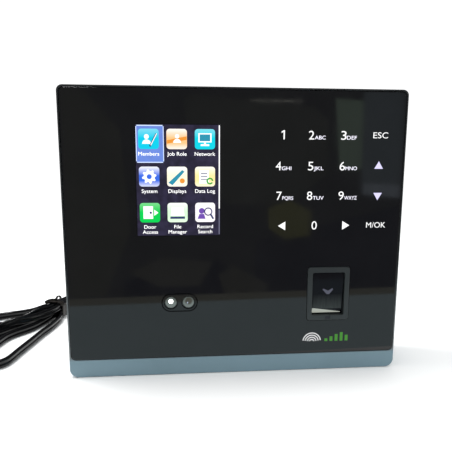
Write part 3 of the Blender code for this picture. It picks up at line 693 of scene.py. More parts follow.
def twist_tie():
    """A flat wire tie wound twice round the bundle, twisted, with a curled end and a leaf."""
    half, low, high, corner = 0.0055, 0.0004, 0.0128, 0.0026
    tie_turn = Matrix.Rotation(TIE_TURN, 3, "Z")
    lengthways = tie_turn @ Vector((0.0, 1.0, 0.0))
    outline = rounded(-half, low, half, high, corner, 5)
    outline = outline[12:] + outline[:12]
    steps = 2 * len(outline)
    wound = []
    for k in range(steps + 1):
        across, up = outline[k % len(outline)]
        wound.append((across, -0.0021 + 0.0042 * k / steps, up))
    stem = [(0.0006 * math.cos(k * 0.9), 0.0006 * math.sin(k * 0.9), high + 0.0004 * k)
            for k in range(7)]
    curl = [(0.0018 - 0.0016 * math.cos(t), 0.0, high + 0.0026 + 0.0011 * math.sin(t))
            for t in [math.radians(-40 + 25 * k) for k in range(13)]]
    leaf = [(0.0006, -0.0002, high - 0.0002), (-0.0018, -0.0008, high + 0.0003),
            (-0.0040, -0.0014, high + 0.0002), (-0.0062, -0.0018, high - 0.0006),
            (-0.0080, -0.0021, high - 0.0018)]
    pieces = []
    for name, points, wide, thick, side in (
        ("tie_wound", wound, 0.0026, 0.0008, lengthways),
        ("tie_stem", smooth_route(stem, 0.0006), 0.0024, 0.0009, lengthways),
        ("tie_curl", smooth_route(curl, 0.0006), 0.0024, 0.0009, lengthways),
        ("tie_leaf", smooth_route(leaf, 0.0006), 0.0030, 0.0009, (0.0, 0.0, 1.0)),
    ):
        path = [TIE + tie_turn @ Vector(p) for p in points]
        pieces.append(swept(name, path, oval(wide, thick), side))
    tie = joined("twist_tie", pieces)
    return finish(tie, "tie_jacket", replaces=["cord_tie"], smooth=60.0)


def ribbed(start, stop, r_start, r_stop, ribs, depth):
    """A tapered profile with round grooves between its ribs."""
    profile = []
    for k in range(ribs):
        for part, inset in ((0.0, 0.0), (0.62, 0.0), (0.70, depth), (0.92, depth)):
            t = (k + part) / ribs
            profile.append((start + (stop - start) * t, r_start + (r_stop - r_start) * t - inset))
    profile.append((stop, r_stop))
    return profile


def plug_and_relief():
    """The plug's ribbed grip, its barrel and the sleeve behind it, all along x."""
    low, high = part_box("power_plug")
    axis = ((low.y + high.y) / 2, (low.z + high.z) / 2)
    grip = [(0.0059, 0.0), (0.0059, 0.0042), (0.0066, 0.0048), (0.0080, 0.0050),
            *ribbed(0.0100, 0.0240, 0.0050, 0.0050, 8, 0.0005),
            (0.0272, 0.0050), (0.0282, 0.0047), (0.0286, 0.0042), (0.0286, 0.0)]
    barrel = [(0.0276, 0.0), (0.0276, 0.0027), (0.0390, 0.0027), (0.0394, 0.0024), (0.0394, 0.0)]
    sleeve = [(0.0056, 0.0), (0.0056, 0.0039), *ribbed(0.0050, -0.0175, 0.0039, 0.0032, 7, 0.0008),
              (-0.0192, 0.0031), (-0.0196, 0.0027), (-0.0196, 0.0)]
    return [
        finish(turned(name, profile, axis, "x", steps), look, replaces, 50.0)
        for name, profile, steps, look, replaces in (
            ("plug_grip", grip, 64, "black_moulding", ["power_plug"]),
            ("plug_barrel", barrel, 48, "pin_metal", []),
            ("plug_strain_sleeve", sleeve, 48, "cord_jacket", ["plug_strain_relief"]),
        )
    ]


def adapter():
    """A moulded shell with a seam round its middle, its cord's boss and the pins' sleeves."""
    low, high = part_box("power_adapter")
    x0, x1, y0, y1, top = low.x, high.x, low.y, 0.094, high.z
    middle, ease = top / 2, 0.0018
    edge = bow(ease, ease, ease, 180, 90, 6)
    levels = [*edge, (middle - 0.0004, 0.0), (middle - 0.0002, 0.0004), (middle + 0.0002, 0.0004),
              (middle + 0.0004, 0.0), *[(top - z, inset) for z, inset in edge[::-1]]]
    shell = loft("adapter_shell", [
        (rounded(x0 + i, y0 + i, x1 - i, y1 - i, 0.004 - i * 0.8, 8), z) for z, i in levels
    ], "z")
    x = (x0 + x1) / 2
    field = rounded(x - 0.021, y0 + 0.008, x + 0.021, y1 - 0.008, 0.002, 6)
    cut(shell, prism("field", field, top - 0.0003, top + 0.002, "z"))
    finish(shell, "black_moulding", replaces=["power_adapter"], smooth=40.0)
    profile = [(y1 - 0.001, 0.0), (y1 - 0.001, 0.0045), (y1 + 0.0006, 0.0045)]
    profile += ribbed(y1 + 0.0008, 0.0985, 0.0042, 0.0036, 3, 0.0008)
    profile += [(0.0994, 0.0033), (0.0996, 0.0028), (0.0996, 0.0)]
    boss = turned("adapter_strain_relief", profile, (x, middle), "y")
    finish(boss, "cord_jacket", smooth=50.0)
    profile = [(x1 - 0.0005, 0.0), (x1 - 0.0005, 0.0032), (x1 + 0.0006, 0.0028),
               (x1 + 0.0009, 0.00207), (x1 + 0.0100, 0.00207), (x1 + 0.0102, 0.00195),
               (x1 + 0.0102, 0.0)]
    sleeves = []
    for name in ("adapter_pin_near", "adapter_pin_far"):
        low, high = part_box(name)
        centre = ((low.y + high.y) / 2, (low.z + high.z) / 2)
        sleeves.append(turned(f"sleeve_{name}", profile, centre, "x"))
    pins = joined("pin_sleeves", sleeves)
    finish(pins, "black_moulding", smooth=50.0)
    return [shell, boss, pins]


def cords():
    """The cord, its route and all that hangs on it."""
    cord, route = twin_lead()
    carried = [twist_tie(), *plug_and_relief(), *adapter()]
    carried += [NODES["adapter_pin_near"], NODES["adapter_pin_far"]]


# ---- front

PANEL_FRONT = -0.0174
PANEL_BACK = -0.0154
GLASS_FRONT = -0.0173
# Step from one printed layer to the next, and how thick a print is
PRINT = 0.00003
PRINT_THICKNESS = PRINT * 0.9
SCREEN = (-0.0523, 0.0778, -0.0092, 0.1349)


def soft_block(name, box, corner, front, back, ease, steps=5):
    """A rounded plate facing -Y with the edge of its front face rounded off by ease."""
    rings = []
    for inset, y in bow(ease, front + ease, ease, 270, -90, steps):
        rings.append((rounded(*grown(box, -inset), max(corner - inset, 0.0002)), y))
    rings.append((rounded(*box, corner), back))
    return loft(name, rings, "y")


def pill_of(node, by):
    """Middle, height, reach and radius of a node's pill outline, grown by so much."""
    x0, z0, x1, z1 = grown(span(node), by)
    r = (z1 - z0) / 2
    return (x0 + x1) / 2, (z0 + z1) / 2, (x1 - x0) / 2 - r, r


def front_panel():
    """The glass with its windows for the screen, the sensor and the camera's pill."""
    panel = soft_block("front_glass", span("front_panel"), 0.0028, PANEL_FRONT, PANEL_BACK, 0.0004)
    cutters = []
    for name, box, corner, steps in (
        ("screen_window", grown(SCREEN, 0.00034), 0.0003, 3),
        ("sensor_window", grown(span("sensor_bezel"), 0.0002), 0.0018, 14),
    ):
        outline = rounded(*box, corner, steps)
        cutters.append(prism(name, outline, PANEL_FRONT - 0.001, PANEL_BACK + 0.001, "y"))
    middle, height, reach, r = pill_of("camera_window", 0.0002)
    cutters.append(loft("camera_opening", [
        (pill(middle, height, reach, r + out), y)
        for out, y in (
            (0.0008, PANEL_FRONT - 0.0004),
            (0.0004, PANEL_FRONT),
            (0.0001, PANEL_FRONT + 0.0003),
            (0.0, PANEL_FRONT + 0.0006),
            (0.0, PANEL_BACK + 0.001),
        )
    ], "y"))
    cut(panel, *cutters)
    finish(panel, "panel", replaces=["front_panel"], smooth=30.0)


def flat(name, outline, layer, base=GLASS_FRONT):
    """A thin print from an outline of (x, z) pairs, layer steps in front of base."""
    front = base - PRINT * (layer + 1)
    return prism(name, outline, front, front + PRINT_THICKNESS, "y")


def stroke(name, ends, width, layer, base=GLASS_FRONT):
    """A straight print with square ends, from (x, z) to (x, z)."""
    a, b = Vector(ends[0]), Vector(ends[1])
    side = (b - a).orthogonal().normalized() * width / 2
    return flat(name, [(a - side)[:], (b - side)[:], (b + side)[:], (a + side)[:]], layer, base)


def arc(name, centre, r, width, start, end, layer, base=GLASS_FRONT):
    """A print along part of a circle, angles in degrees."""
    outer = bow(*centre, r + width / 2, start, end - start, 20)
    return flat(name, outer + bow(*centre, r - width / 2, end, start - end, 20), layer, base)


# Height of a capital letter of the plain font at size 1
CAPITAL = 0.72
LABEL_WIDENING = 1.06


def letter_shapes(text):
    """The outlines of a line of plain lettering as a flat mesh, at size 1."""
    curve = bpy.data.curves.new("letters", "FONT")
    curve.body = text
    curve.resolution_u = 4
    shape = bpy.data.objects.new("letters", curve)
    bpy.context.scene.collection.objects.link(shape)
    graph = bpy.context.evaluated_depsgraph_get()
    mesh = bpy.data.meshes.new_from_object(shape.evaluated_get(graph))
    bpy.data.objects.remove(shape, do_unlink=True)
    return mesh


def raised(mesh, left, scale_x, low, scale_z, layer, base):
    """Letter shapes as a thin print with their left edge and baseline where they belong."""
    start = min(v.co.x for v in mesh.vertices)
    front = base - PRINT * (layer + 1)
    for v in mesh.vertices:
        v.co = (left + (v.co.x - start) * scale_x, front, low + v.co.y * scale_z)
    o = object_of("word", mesh)
    solid = o.modifiers.new("thickness", "SOLIDIFY")
    solid.thickness = PRINT_THICKNESS
    solid.offset = 0.0
    return baked(o)


def word(text, left, right, low, height):
    """Capitals or figures on the panel, fitted between left and right and height tall."""
    mesh = letter_shapes(text)
    across = [v.co.x for v in mesh.vertices]
    scale_x = (right - left) / (max(across) - min(across))
    return raised(mesh, left, scale_x, low, height / CAPITAL, 0, PANEL_FRONT)


def label(text, middle, low, capital):
    """A line of plain lettering on the screen, a little widened, centred on middle."""
    mesh = letter_shapes(text)
    across = [v.co.x for v in mesh.vertices]
    scale = capital / CAPITAL
    width = (max(across) - min(across)) * scale * LABEL_WIDENING
    return raised(mesh, middle - width / 2, scale * LABEL_WIDENING, low, scale, 3, GLASS_FRONT)


DIGIT_HEIGHT = 0.0047
# Digit, letters, left, right and baseline of each key's legend, in millimetres
KEY_LEGENDS = (
    ("1", "", 22.4, 24.9, 127.9),
    ("2", "ABC", 37.3, 46.3, 127.9),
    ("3", "DEF", 54.6, 63.1, 127.9),
    ("4", "GHI", 20.1, 28.4, 111.9),
    ("5", "JKL", 37.3, 45.7, 111.9),
    ("6", "MNO", 54.4, 63.9, 111.9),
    ("7", "PQRS", 20.7, 29.8, 96.2),
    ("8", "TUV", 37.2, 46.3, 96.2),
    ("9", "WXYZ", 54.4, 64.5, 96.2),
    ("0", "", 40.2, 43.0, 80.2),
)
# Middle of each arrow key's mark in millimetres, and which way it points in degrees
KEY_ARROWS = ((75.8, 114.4, 90), (76.0, 98.2, 270), (24.2, 82.3, 180), (58.8, 82.3, 0))


def one(left, low):
    """A plain figure one: an upright with a short flag."""
    x = left + 0.0018
    upright = stroke("upright", ((x, low), (x, low + DIGIT_HEIGHT)), 0.0007, 0, PANEL_FRONT)
    flag = [(left + 0.0004, low + 0.0033), (left + 0.0016, low + 0.0038),
            (left + 0.0016, low + 0.0047), (left + 0.0004, low + 0.0040)]
    return [upright, flat("flag", flag, 0, PANEL_FRONT)]


def key_legends():
    """The keys' lit figures, letters and arrows, printed on the glass."""
    digits, letters, arrows = [], [], []
    for digit, group, left, right, low in KEY_LEGENDS:
        left, right, low = left / 1000, right / 1000, low / 1000
        split = left + 0.0029
        if digit == "1":
            digits += one(left, low)
            continue
        digits.append(word(digit, left, split, low, DIGIT_HEIGHT))
        if group:
            letters.append(word(group, split + 0.0003, right, low + 0.0001, 0.0020))
    digits.append(word("ESC", 0.0720, 0.0801, 0.1288, 0.0032))
    digits.append(word("M/OK", 0.0705, 0.0813, 0.0809, 0.0031))
    for x, z, angle in KEY_ARROWS:
        points = []
        for turn, reach in ((0, 2.3), (125, 2.9), (235, 2.9)):
            t = math.radians(angle + turn)
            points.append(((x + reach * math.cos(t)) / 1000, (z + reach * math.sin(t)) / 1000))
        group = arrows if angle in (90, 270) else digits
        group.append(flat("arrow", points, 0, PANEL_FRONT))
    finish(joined("key_digits", digits), "legend")
    finish(joined("key_arrows", arrows), "legend_lilac")
    finish(joined("key_letters", letters), "legend_small")


# Menu tiles: middle in millimetres and colour, row by row
TILE_X = (-45.7, -31.4, -17.0)
TILE_Z = (127.7, 108.6, 89.9)
TILE_WORDS = (
    ("Members",), ("Job Role",), ("Network",),
    ("System",), ("Displays",), ("Data Log",),
    ("Door", "Access"), ("File", "Manager"), ("Record", "Search"),
)
TILE_COLOURS = (
    (0.0, 0.58, 0.78), (0.95, 0.5, 0.16), (0.0, 0.62, 0.74),
    (0.04, 0.14, 0.75), (0.95, 0.85, 0.55), (0.95, 0.78, 0.28),
    (0.0, 0.6, 0.08), (0.45, 0.88, 0.42), (0.95, 0.8, 0.95),
)
# How far each tile is bleached at its bottom, its middle and its top
TILE_BLEACH = (
    (0.0, 0.0, 0.22), (0.85, 0.1, 0.95), (0.0, 0.0, 0.22),
    (0.7, 0.0, 0.95), (0.7, 0.3, 0.95), (0.6, 0.1, 0.9),
    (0.0, 0.0, 0.2), (0.6, 0.4, 0.95), (0.8, 0.55, 0.95),
)


def tile_look(name, colour, bleach):
    """A lit button, bleached towards its top and its bottom."""
    look = Look(name)
    look.into("Base Color", [c * 0.1 for c in colour])
    look.into("Roughness", 0.15)
    ramp = look.node("ShaderNodeValToRGB", {"Fac": look.along("Z", "Generated")})
    low, middle, high = bleach
    stops = ((0.0, low), (0.3, middle), (0.55, middle), (0.8, (middle + high) / 2), (1.0, high))
    elements = ramp.color_ramp.elements
    while len(elements) < len(stops):
        elements.new(0.5)
    for element, (place, white) in zip(elements, stops, strict=True):
        element.position = place
        element.color = [*[c + (1 - c) * white for c in colour], 1.0]
    look.into("Emission Color", ramp.outputs["Color"])
    look.into("Emission Strength", 1.05)
    return look.material


def at(k, *points):
    """Points in tile k, from millimetres off its middle to the row's metres."""
    x, z = TILE_X[k % 3], TILE_Z[k // 3]
    return [((x + a) / 1000, (z + b) / 1000) for a, b in points]


def figure(k, x, z, size, layer):
    """A head and shoulders in tile k."""
    head = circle(*at(k, (x, z + 1.6 * size))[0], 0.0011 * size, 20)
    shoulders = at(k, *bow(x, z - 1.7 * size, 2.0 * size, 0, 180, 14))
    return [flat("head", head, layer), flat("shoulders", shoulders, layer)]


def gear(k, r, teeth, layer):
    """A toothed wheel with a hole, r millimetres in radius, in tile k."""
    points = []
    for j in range(teeth * 4):
        t = 2 * math.pi * (j + 0.5) / (teeth * 4)
        reach = r if j % 4 < 2 else r * 0.76
        points.append((reach * math.cos(t), reach * math.sin(t)))
    wheel = flat("gear", at(k, *points), layer)
    hole = circle(*at(k, (0.0, 0.0))[0], r * 0.35 / 1000, 20)
    cut(wheel, prism("hole", hole, GLASS_FRONT - 0.001, GLASS_FRONT, "y"))
    return wheel


# The pictures' plain faces: colour, tile, layer, and corners in millimetres off its middle
FACES = (
    ("orange", 1, 3, (-5.0, -2.4), (5.0, -0.4), (5.0, 1.4), (-5.0, -0.6)),
    ("white", 2, 3, (-3.4, -1.6), (3.4, -1.6), (3.4, 3.0), (-3.4, 3.0)),
    ("teal", 2, 4, (-2.7, -1.0), (2.7, -1.0), (2.7, 2.4), (-2.7, 2.4)),
    ("teal", 4, 3, (-4.6, -3.2), (-2.4, -4.4), (3.8, 2.6), (2.6, 3.4)),
    ("white", 5, 3, (-3.0, -3.6), (2.0, -3.6), (2.0, 3.2), (-3.0, 3.2)),
    ("white", 6, 3, (-3.4, -3.2), (1.6, -3.2), (1.6, 3.4), (-3.4, 3.4)),
    ("white", 6, 4, (2.2, 1.6), (4.4, 0.0), (2.2, -1.6)),
    ("white", 7, 3, (-3.6, -1.6), (3.6, -1.6), (3.0, 2.8), (-3.0, 2.8)),
    ("violet", 8, 3, (-4.0, -3.4), (0.2, -3.4), (-0.6, -0.8), (-3.0, -0.8)),
)


# Their lines: colour, tile, layer, width and the two ends, in millimetres
LINES = (
    ("dark", 0, 4, 0.9, (0.6, -3.8), (4.0, 2.6)),
    ("white", 0, 5, 0.4, (1.1, -3.2), (4.2, 2.7)),
    ("white", 2, 3, 0.9, (-2.2, -3.0), (2.2, -3.0)),
    ("white", 2, 3, 1.0, (0.0, -2.9), (0.0, -1.5)),
    ("dark", 5, 4, 0.4, (-2.2, -1.6), (1.2, -1.6)),
    ("dark", 5, 4, 0.4, (-2.2, 0.0), (1.2, 0.0)),
    ("dark", 5, 4, 0.4, (-2.2, 1.6), (1.2, 1.6)),
    ("dark", 7, 3, 1.2, (-3.8, -2.7), (3.8, -2.7)),
    ("dark", 8, 4, 0.9, (2.8, -0.9), (4.3, -3.5)),
)


# Their dots: colour, tile, layer, radius in millimetres, corners and middle
DOTS = (
    ("orange", 4, 4, 1.3, 16, (2.6, -2.2)),
    ("dark", 6, 4, 0.6, 14, (0.4, 0.0)),
    ("violet", 8, 3, 1.5, 20, (-1.8, 0.8)),
)


def menu_art():
    """The tiles' plain pictures, one piece for each colour."""
    art = {"white": [], "orange": [], "dark": [], "teal": [], "green": [], "violet": []}
    art["white"] += [*figure(0, -1.0, -0.6, 1.1, 3), *figure(1, 0.2, -0.2, 1.0, 4)]
    art["white"].append(gear(3, 3.7, 8, 3))
    art["green"].append(arc("ring", at(5, (2.5, -2.3))[0], 0.0014, 0.0008, 0, 330, 5))
    art["dark"].append(arc("glass_ring", at(8, (1.6, 0.4))[0], 0.0019, 0.0006, 0, 359.9, 4))
    for name, k, layer, *corners in FACES:
        art[name].append(flat("face", at(k, *corners), layer))
    for name, k, layer, width, *ends in LINES:
        art[name].append(stroke("line", at(k, *ends), width / 1000, layer))
    for name, k, layer, r, steps, middle in DOTS:
        art[name].append(flat("dot", circle(*at(k, middle)[0], r / 1000, steps), layer))
    for name, pieces in art.items():
        finish(joined(f"menu_art_{name}", pieces), name)


def screen_picture():
    """A lit menu of nine tiles with plain pictures, their words and a scroll bar."""
    highlight = rounded(-0.0520, 0.1157, -0.0381, 0.1346, 0.0012, 6)
    finish(flat("screen_ground", rounded(*SCREEN, 0.0002, 2), 0), "ground")
    finish(flat("highlight", highlight, 1), "highlight")
    rim = [
        stroke("rim", ((-0.0516, 0.1344), (-0.0385, 0.1344)), 0.0005, 2),
        stroke("rim", ((-0.0516, 0.1159), (-0.0385, 0.1159)), 0.0005, 2),
        stroke("rim", ((-0.0519, 0.1164), (-0.0519, 0.1340)), 0.0004, 2),
        stroke("rim", ((-0.0382, 0.1164), (-0.0382, 0.1340)), 0.0004, 2),
    ]
    finish(joined("highlight_rim", rim), "pale_blue")
    letters = []
    for k, colour in enumerate(TILE_COLOURS):
        (a0, b0), (a1, b1) = at(k, (-5.2, -5.1), (5.2, 5.1))
        name = f"tile_{k + 1}"
        LOOKS[name] = tile_look(name, colour, TILE_BLEACH[k])
        finish(flat(f"menu_{name}", rounded(a0, b0, a1, b1, 0.0016, 6), 2), name)
        for row, text in enumerate(TILE_WORDS[k]):
            low = TILE_Z[k // 3] - 8.4 - 2.7 * row
            letters.append(label(text, TILE_X[k % 3] / 1000, low / 1000, 0.00195))
    menu_art()
    finish(joined("menu_words", letters), "words")
    scroll = (("scroll_bar", 0.0918, 0.1348, "white"), ("scroll_track", 0.0782, 0.0916, "track"))
    for name, low, high, look in scroll:
        finish(flat(name, rounded(-0.0099, low, -0.0093, high, 0.0002, 2), 2), look)


def domed(name, centre, profile, look, replaces=()):
    """A small turned piece facing -Y."""
    o = turned(name, profile, centre, "y", 64)
    return finish(o, look, replaces=replaces, smooth=50.0)


def camera_window():
    """The pill flush with the glass, two dark recesses, the lamp's and the camera's discs."""
    middle, height, reach, r = pill_of("camera_window", 0.0001)
    window = loft("camera_pill", [
        (pill(middle, height, reach, r - 0.0001), PANEL_FRONT + 0.00004),
        (pill(middle, height, reach, r), PANEL_FRONT + 0.00014),
        (pill(middle, height, reach, r), -0.0148),
    ], "y")
    recesses = []
    for node in ("lamp_lens", "camera_lens"):
        middle, height, _, r = pill_of(node, 0.0)
        wide, narrow = circle(middle, height, r + 0.0007), circle(middle, height, r + 0.0004)
        recesses.append(loft("recess", [
            (wide, PANEL_FRONT - 0.001), (wide, PANEL_FRONT + 0.0001),
            (narrow, PANEL_FRONT + 0.0008),
        ], "y"))
    cut(window, *recesses)
    finish(window, "panel", replaces=["camera_window"], smooth=30.0)
    for node, spot in (("lamp_lens", "lamp"), ("camera_lens", "camera")):
        x, z, _, r = pill_of(node, 0.0)
        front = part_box(node)[0].y
        profile = [(front + 0.0006, 0.0), (front + 0.0006, r), (front + 0.0003, r)]
        profile += [(front + 0.0003 * (1 - k / 6) ** 2, r * (1 - 0.2 * k / 6)) for k in range(1, 7)]
        profile += [(front, r * 0.5), (front, 0.0)]
        domed(f"{spot}_disc", (x, z), profile, "lens", [node])
        if spot == "lamp":
            dome = [(front + 0.0001, 0.0), (front - 0.00002, 0.0012)]
            dome += [(front - 0.0006 * math.sin(t), 0.0012 * math.cos(t))
                     for t in [math.radians(90 * k / 6) for k in range(1, 7)]]
            domed("lamp_spot", (x, z + 0.0007), dome, "lamp")
        else:
            iris = [(front + 0.0001, 0.0), (front - 0.00003, 0.0019), (front - 0.00006, 0.0017),
                    (front - 0.00006, 0.0)]
            domed("camera_iris", (x + 0.0001, z + 0.0008), iris, "iris")
            glint = [(front + 0.0001, 0.0), (front - 0.00008, 0.0003), (front - 0.00012, 0.0)]
            domed("camera_glint", (x - 0.0005, z - 0.0002), glint, "pale_blue")


def prism_face(z):
    """How far forward the prism's sloping face is at height z."""
    upper, lower, bottom = 0.0559, 0.0349, 0.0324
    if z > lower:
        return -0.0169 + 0.0010 * (upper - z) / (upper - lower)
    return -0.0159 + 0.0006 * (lower - z) / (lower - bottom)


def laid_on_prism(name, outline, look, forward=0.0, up=0.0):
    """A thin film on the prism's face from an outline of (x, z) pairs, then moved a little."""
    rings = []
    for side in (-0.0001, 0.0001):
        rings.append([(x, prism_face(z) + side - forward, z + up) for x, z in outline])
    finish(loft(name, rings), look)


def sensor():
    """Painted reflections in the prism: a small pale V and a lighter lower half; a pale wedge of
    painted highlight at its edge, with a strip of painted shade along its upper edge; and
    painted shade in the bezel's notch.
    """
    left, low, right, _ = span("sensor_prism")
    middle = (left + right) / 2
    # Painted reflection of the pale table over the prism's lower half.
    laid_on_prism("prism_lower_reflection", [
        (left + 0.0005, low + 0.0028), (right - 0.0005, low + 0.0028),
        (right - 0.0005, low + 0.0116), (left + 0.0005, low + 0.0112),
    ], "prism_lower_reflection")
    # A pale V of painted reflection on the prism.
    laid_on_prism("prism_v_reflection", [
        (middle - 0.0005, low + 0.0104), (middle + 0.0009, low + 0.0104),
        (middle + 0.0030, low + 0.0130), (middle + 0.0026, low + 0.0138),
        (middle + 0.0002, low + 0.0124), (middle - 0.0024, low + 0.0136),
        (middle - 0.0030, low + 0.0132),
    ], "prism_pale_reflection", 0.00004, 0.0008)
    # A pale wedge at the prism's lower edge: painted highlight, the glass lit by the pale table.
    laid_on_prism("prism_wedge_highlight", [
        (left + 0.0003, low + 0.0004), (right - 0.0010, low + 0.0005),
        (right - 0.0010, low + 0.0008), (left + 0.0012, low + 0.0031),
        (left + 0.0003, low + 0.0031),
    ], "prism_wedge_highlight", 0.00015)
    laid_on_prism("prism_shade", [
        (left + 0.0012, low + 0.0031), (right - 0.0008, low + 0.0011),
        (right - 0.0008, low + 0.0016), (left + 0.0012, low + 0.0036),
    ], "camera_trim", 0.0001)
    # A dark plate of painted shade in the bezel's notch.
    notch_painted_shade = rectangle(0.0494, 0.0296, 0.0522, 0.0312)
    finish(flat("bezel_notch_shade", notch_painted_shade, 0, -0.01749), "notch_painted_shade")


def generic_mark():
    """Plain ridge arcs and bars printed below the sensor, glowing a little: painted light that makes
    the print read as lit.
    """
    base, arcs, bars = 0.0166, [], []
    for k in range(1, 5):
        arcs.append(arc("ridge", (0.0424, base), k * 0.00125, 0.0006, 8, 172, 0, PANEL_FRONT))
    for k, rise in enumerate((0.0016, 0.0027, 0.0040, 0.0050, 0.0034)):
        x = 0.0497 + 0.0029 * k
        bars.append(flat("bar", rectangle(x, base, x + 0.0017, base + rise), 0, PANEL_FRONT))
    finish(joined("mark_ridges", arcs), "mark_white_painted_glow")
    finish(joined("mark_bars", bars), "mark_green_painted_glow")


# ---- connectors and board

BOARD_BACK = 0.0006


def terminal_screws():
    """A slotted clamp screw over every wire entry of the two terminal blocks; each slot is a dark
    strip of painted shade laid on the head.
    """
    heads, slot_shades = [], []
    for node in ("terminal_block_left", "terminal_block_right"):
        low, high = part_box(node)
        back, z = high.y, (low.z + high.z) / 2 + 0.0012
        profile = [(back - 0.0001, 0.0), (back - 0.0001, 0.0013), (back + 0.00018, 0.0013),
                   (back + 0.00026, 0.0012), (back + 0.00026, 0.0)]
        for k in range(5):
            x = low.x + 0.0024 + 0.0038 * k
            heads.append(turned("head", profile, (x, z), "y", 20))
            # The slot: a dark strip on the head, painted shade standing for the groove.
            slot_shades.append(slab("slot", x, z, 0.0022, 0.0004, back + 0.00024, 0.00006))
    finish(joined("terminal_screws", heads), "fastener_steel", smooth=40.0)
    finish(joined("terminal_slot_shades", slot_shades), "camera_trim")


def jack_contacts():
    """Eight sprung contacts and two lamps in the network jack, which opens downwards."""
    low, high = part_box("network_jack")
    middle = (low.x + high.x) / 2
    bends = ((0.0112, 0.0436), (0.0108, 0.0352), (0.0100, 0.0344), (0.0072, 0.0400))
    wires = []
    for k in range(8):
        path = [Vector((middle + (k - 3.5) * 0.00102, y, z)) for y, z in bends]
        wires.append(swept("contact", path, oval(0.0004, 0.00025, 6), (1.0, 0.0, 0.0)))
    finish(joined("jack_contacts", wires), "gold_contact", smooth=60.0)
    for side, name in ((-1, "jack_lamp_green"), (1, "jack_lamp_amber")):
        lamp = slab(name, middle + side * 0.0069, low.z + 0.000125, 0.001, 0.00055, 0.0062, 0.003)
        finish(eased(lamp, 0.0001, 2), name)


def usb_tongue():
    """The white tongue of the socket behind the rubber cover, with four contacts."""
    low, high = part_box("usb_socket")
    middle = (low.z + high.z) / 2
    tongue = slab("usb_tongue", 0.0800, middle, 0.0110, 0.0092, 0.0042, 0.0020)
    finish(eased(tongue, 0.0002, 2), "white_moulding")
    strips = []
    for k in range(4):
        z = middle + (k - 1.5) * 0.0022
        strips.append(slab("strip", 0.0805, z, 0.0090, 0.0010, 0.0041, 0.0002))
    finish(joined("usb_contacts", strips), "gold_contact")


def chip(x, z, wide, tall, rise, legs):
    """A flat package on the back of the main board, with legs along its two sides."""
    pitch = tall / legs
    feet = []
    for k in range(legs):
        height = z + (k - (legs - 1) / 2) * pitch
        for side in (-1, 1):
            edge = x + side * (wide / 2 + 0.0004)
            feet.append(slab("foot", edge, height, 0.0010, pitch / 2, BOARD_BACK, 0.0002))
    return slab("package", x, z, wide, tall, BOARD_BACK, rise), feet


# Packages seen through the cable bay: middle x and z, width, height, rise in mm, legs a side
CHIPS = (
    (22.0, 36.5, 6.0, 8.0, 1.2, 10),
    (-55.0, 36.0, 4.0, 5.0, 1.1, 4),
    (-13.0, 34.5, 5.0, 6.4, 1.2, 7),
    (4.0, 35.0, 4.0, 5.0, 1.1, 4),
    (-55.0, 20.5, 4.6, 6.2, 1.3, 3),
    (24.0, 49.5, 4.0, 3.0, 1.0, 3),
    (35.0, 50.5, 3.0, 3.0, 1.0, 3),
)


def board_details():
    """Chips, small parts, a crystal can and two electrolytic cans around the cable bay."""
    bodies, smalls, ends = [], [], []
    for *sizes, legs in CHIPS:
        package, feet = chip(*[size / 1000 for size in sizes], legs)
        bodies.append(package)
        ends += feet
    finish(eased(joined("board_packages", bodies), 0.00012, 2), "package")
    for k in range(46):
        row, column = divmod(k, 23)
        x = -0.0490 + 0.0040 * column + 0.0007 * ((k * 7) % 3)
        z = 0.0152 + 0.0145 * row + 0.0011 * ((k * 5) % 4)
        upright = (k * 3) % 4 == 0
        wide, tall = (0.0008, 0.0016) if upright else (0.0016, 0.0008)
        smalls.append(slab("small", x, z, wide, tall, BOARD_BACK, 0.0005))
        for off in (-0.00075, 0.00075):
            place = (x, z + off) if upright else (x + off, z)
            ends.append(slab("end", *place, 0.0009, 0.0009, BOARD_BACK, 0.00055))
    finish(joined("small_parts", smalls), "small_part")
    finish(joined("solder_ends", ends), "solder")
    crystal = prism("crystal_can", pill(0.0115, 0.0340, 0.0032, 0.0019), BOARD_BACK,
                    BOARD_BACK + 0.0035, "y")
    finish(eased(crystal, 0.0003, 3), "plated_steel")
    profile = [(0.0, 0.0), (0.0, 0.0030), (0.0008, 0.0031), (0.0012, 0.0028), (0.0016, 0.0031),
               (0.0062, 0.0031), (0.0066, 0.0028), (0.0066, 0.0)]
    profile = [(BOARD_BACK + rise, r) for rise, r in profile]
    for name, x in (("bay_can_left", -0.0300), ("bay_can_right", -0.0225)):
        finish(turned(name, profile, (x, 0.0370), "y", 40), "plated_steel", smooth=40.0)


# ---- stage


CAMERA_PLACE = (-0.02669, -0.25839, 0.11975)
CAMERA_TURN = (81.25541, -0.20958, -4.87677)
# The camera's place as seen in the front glass, for putting things where it mirrors them
MIRRORED_EYE = Vector((CAMERA_PLACE[0], 2 * PANEL_FRONT - CAMERA_PLACE[1], CAMERA_PLACE[2]))
GLASS_DISTANCE = MIRRORED_EYE.y - PANEL_FRONT
# Where the table's front edge is at x = 0, and how much it runs skew
TABLE_EDGE = (-0.1421, -0.0538)
ROOM_FAR = -1.2
DIM = (0.12, 0.125, 0.135)


def table_edge(x, beyond=0.0):
    """The table's front edge, which runs slightly skew: its y at x."""
    return TABLE_EDGE[0] + TABLE_EDGE[1] * x - beyond


def mirrored_at(x, z, y):
    """The point of the plane y that the glass shows the camera at (x, z)."""
    return MIRRORED_EYE.lerp(Vector((x, PANEL_FRONT, z)), (MIRRORED_EYE.y - y) / GLASS_DISTANCE)


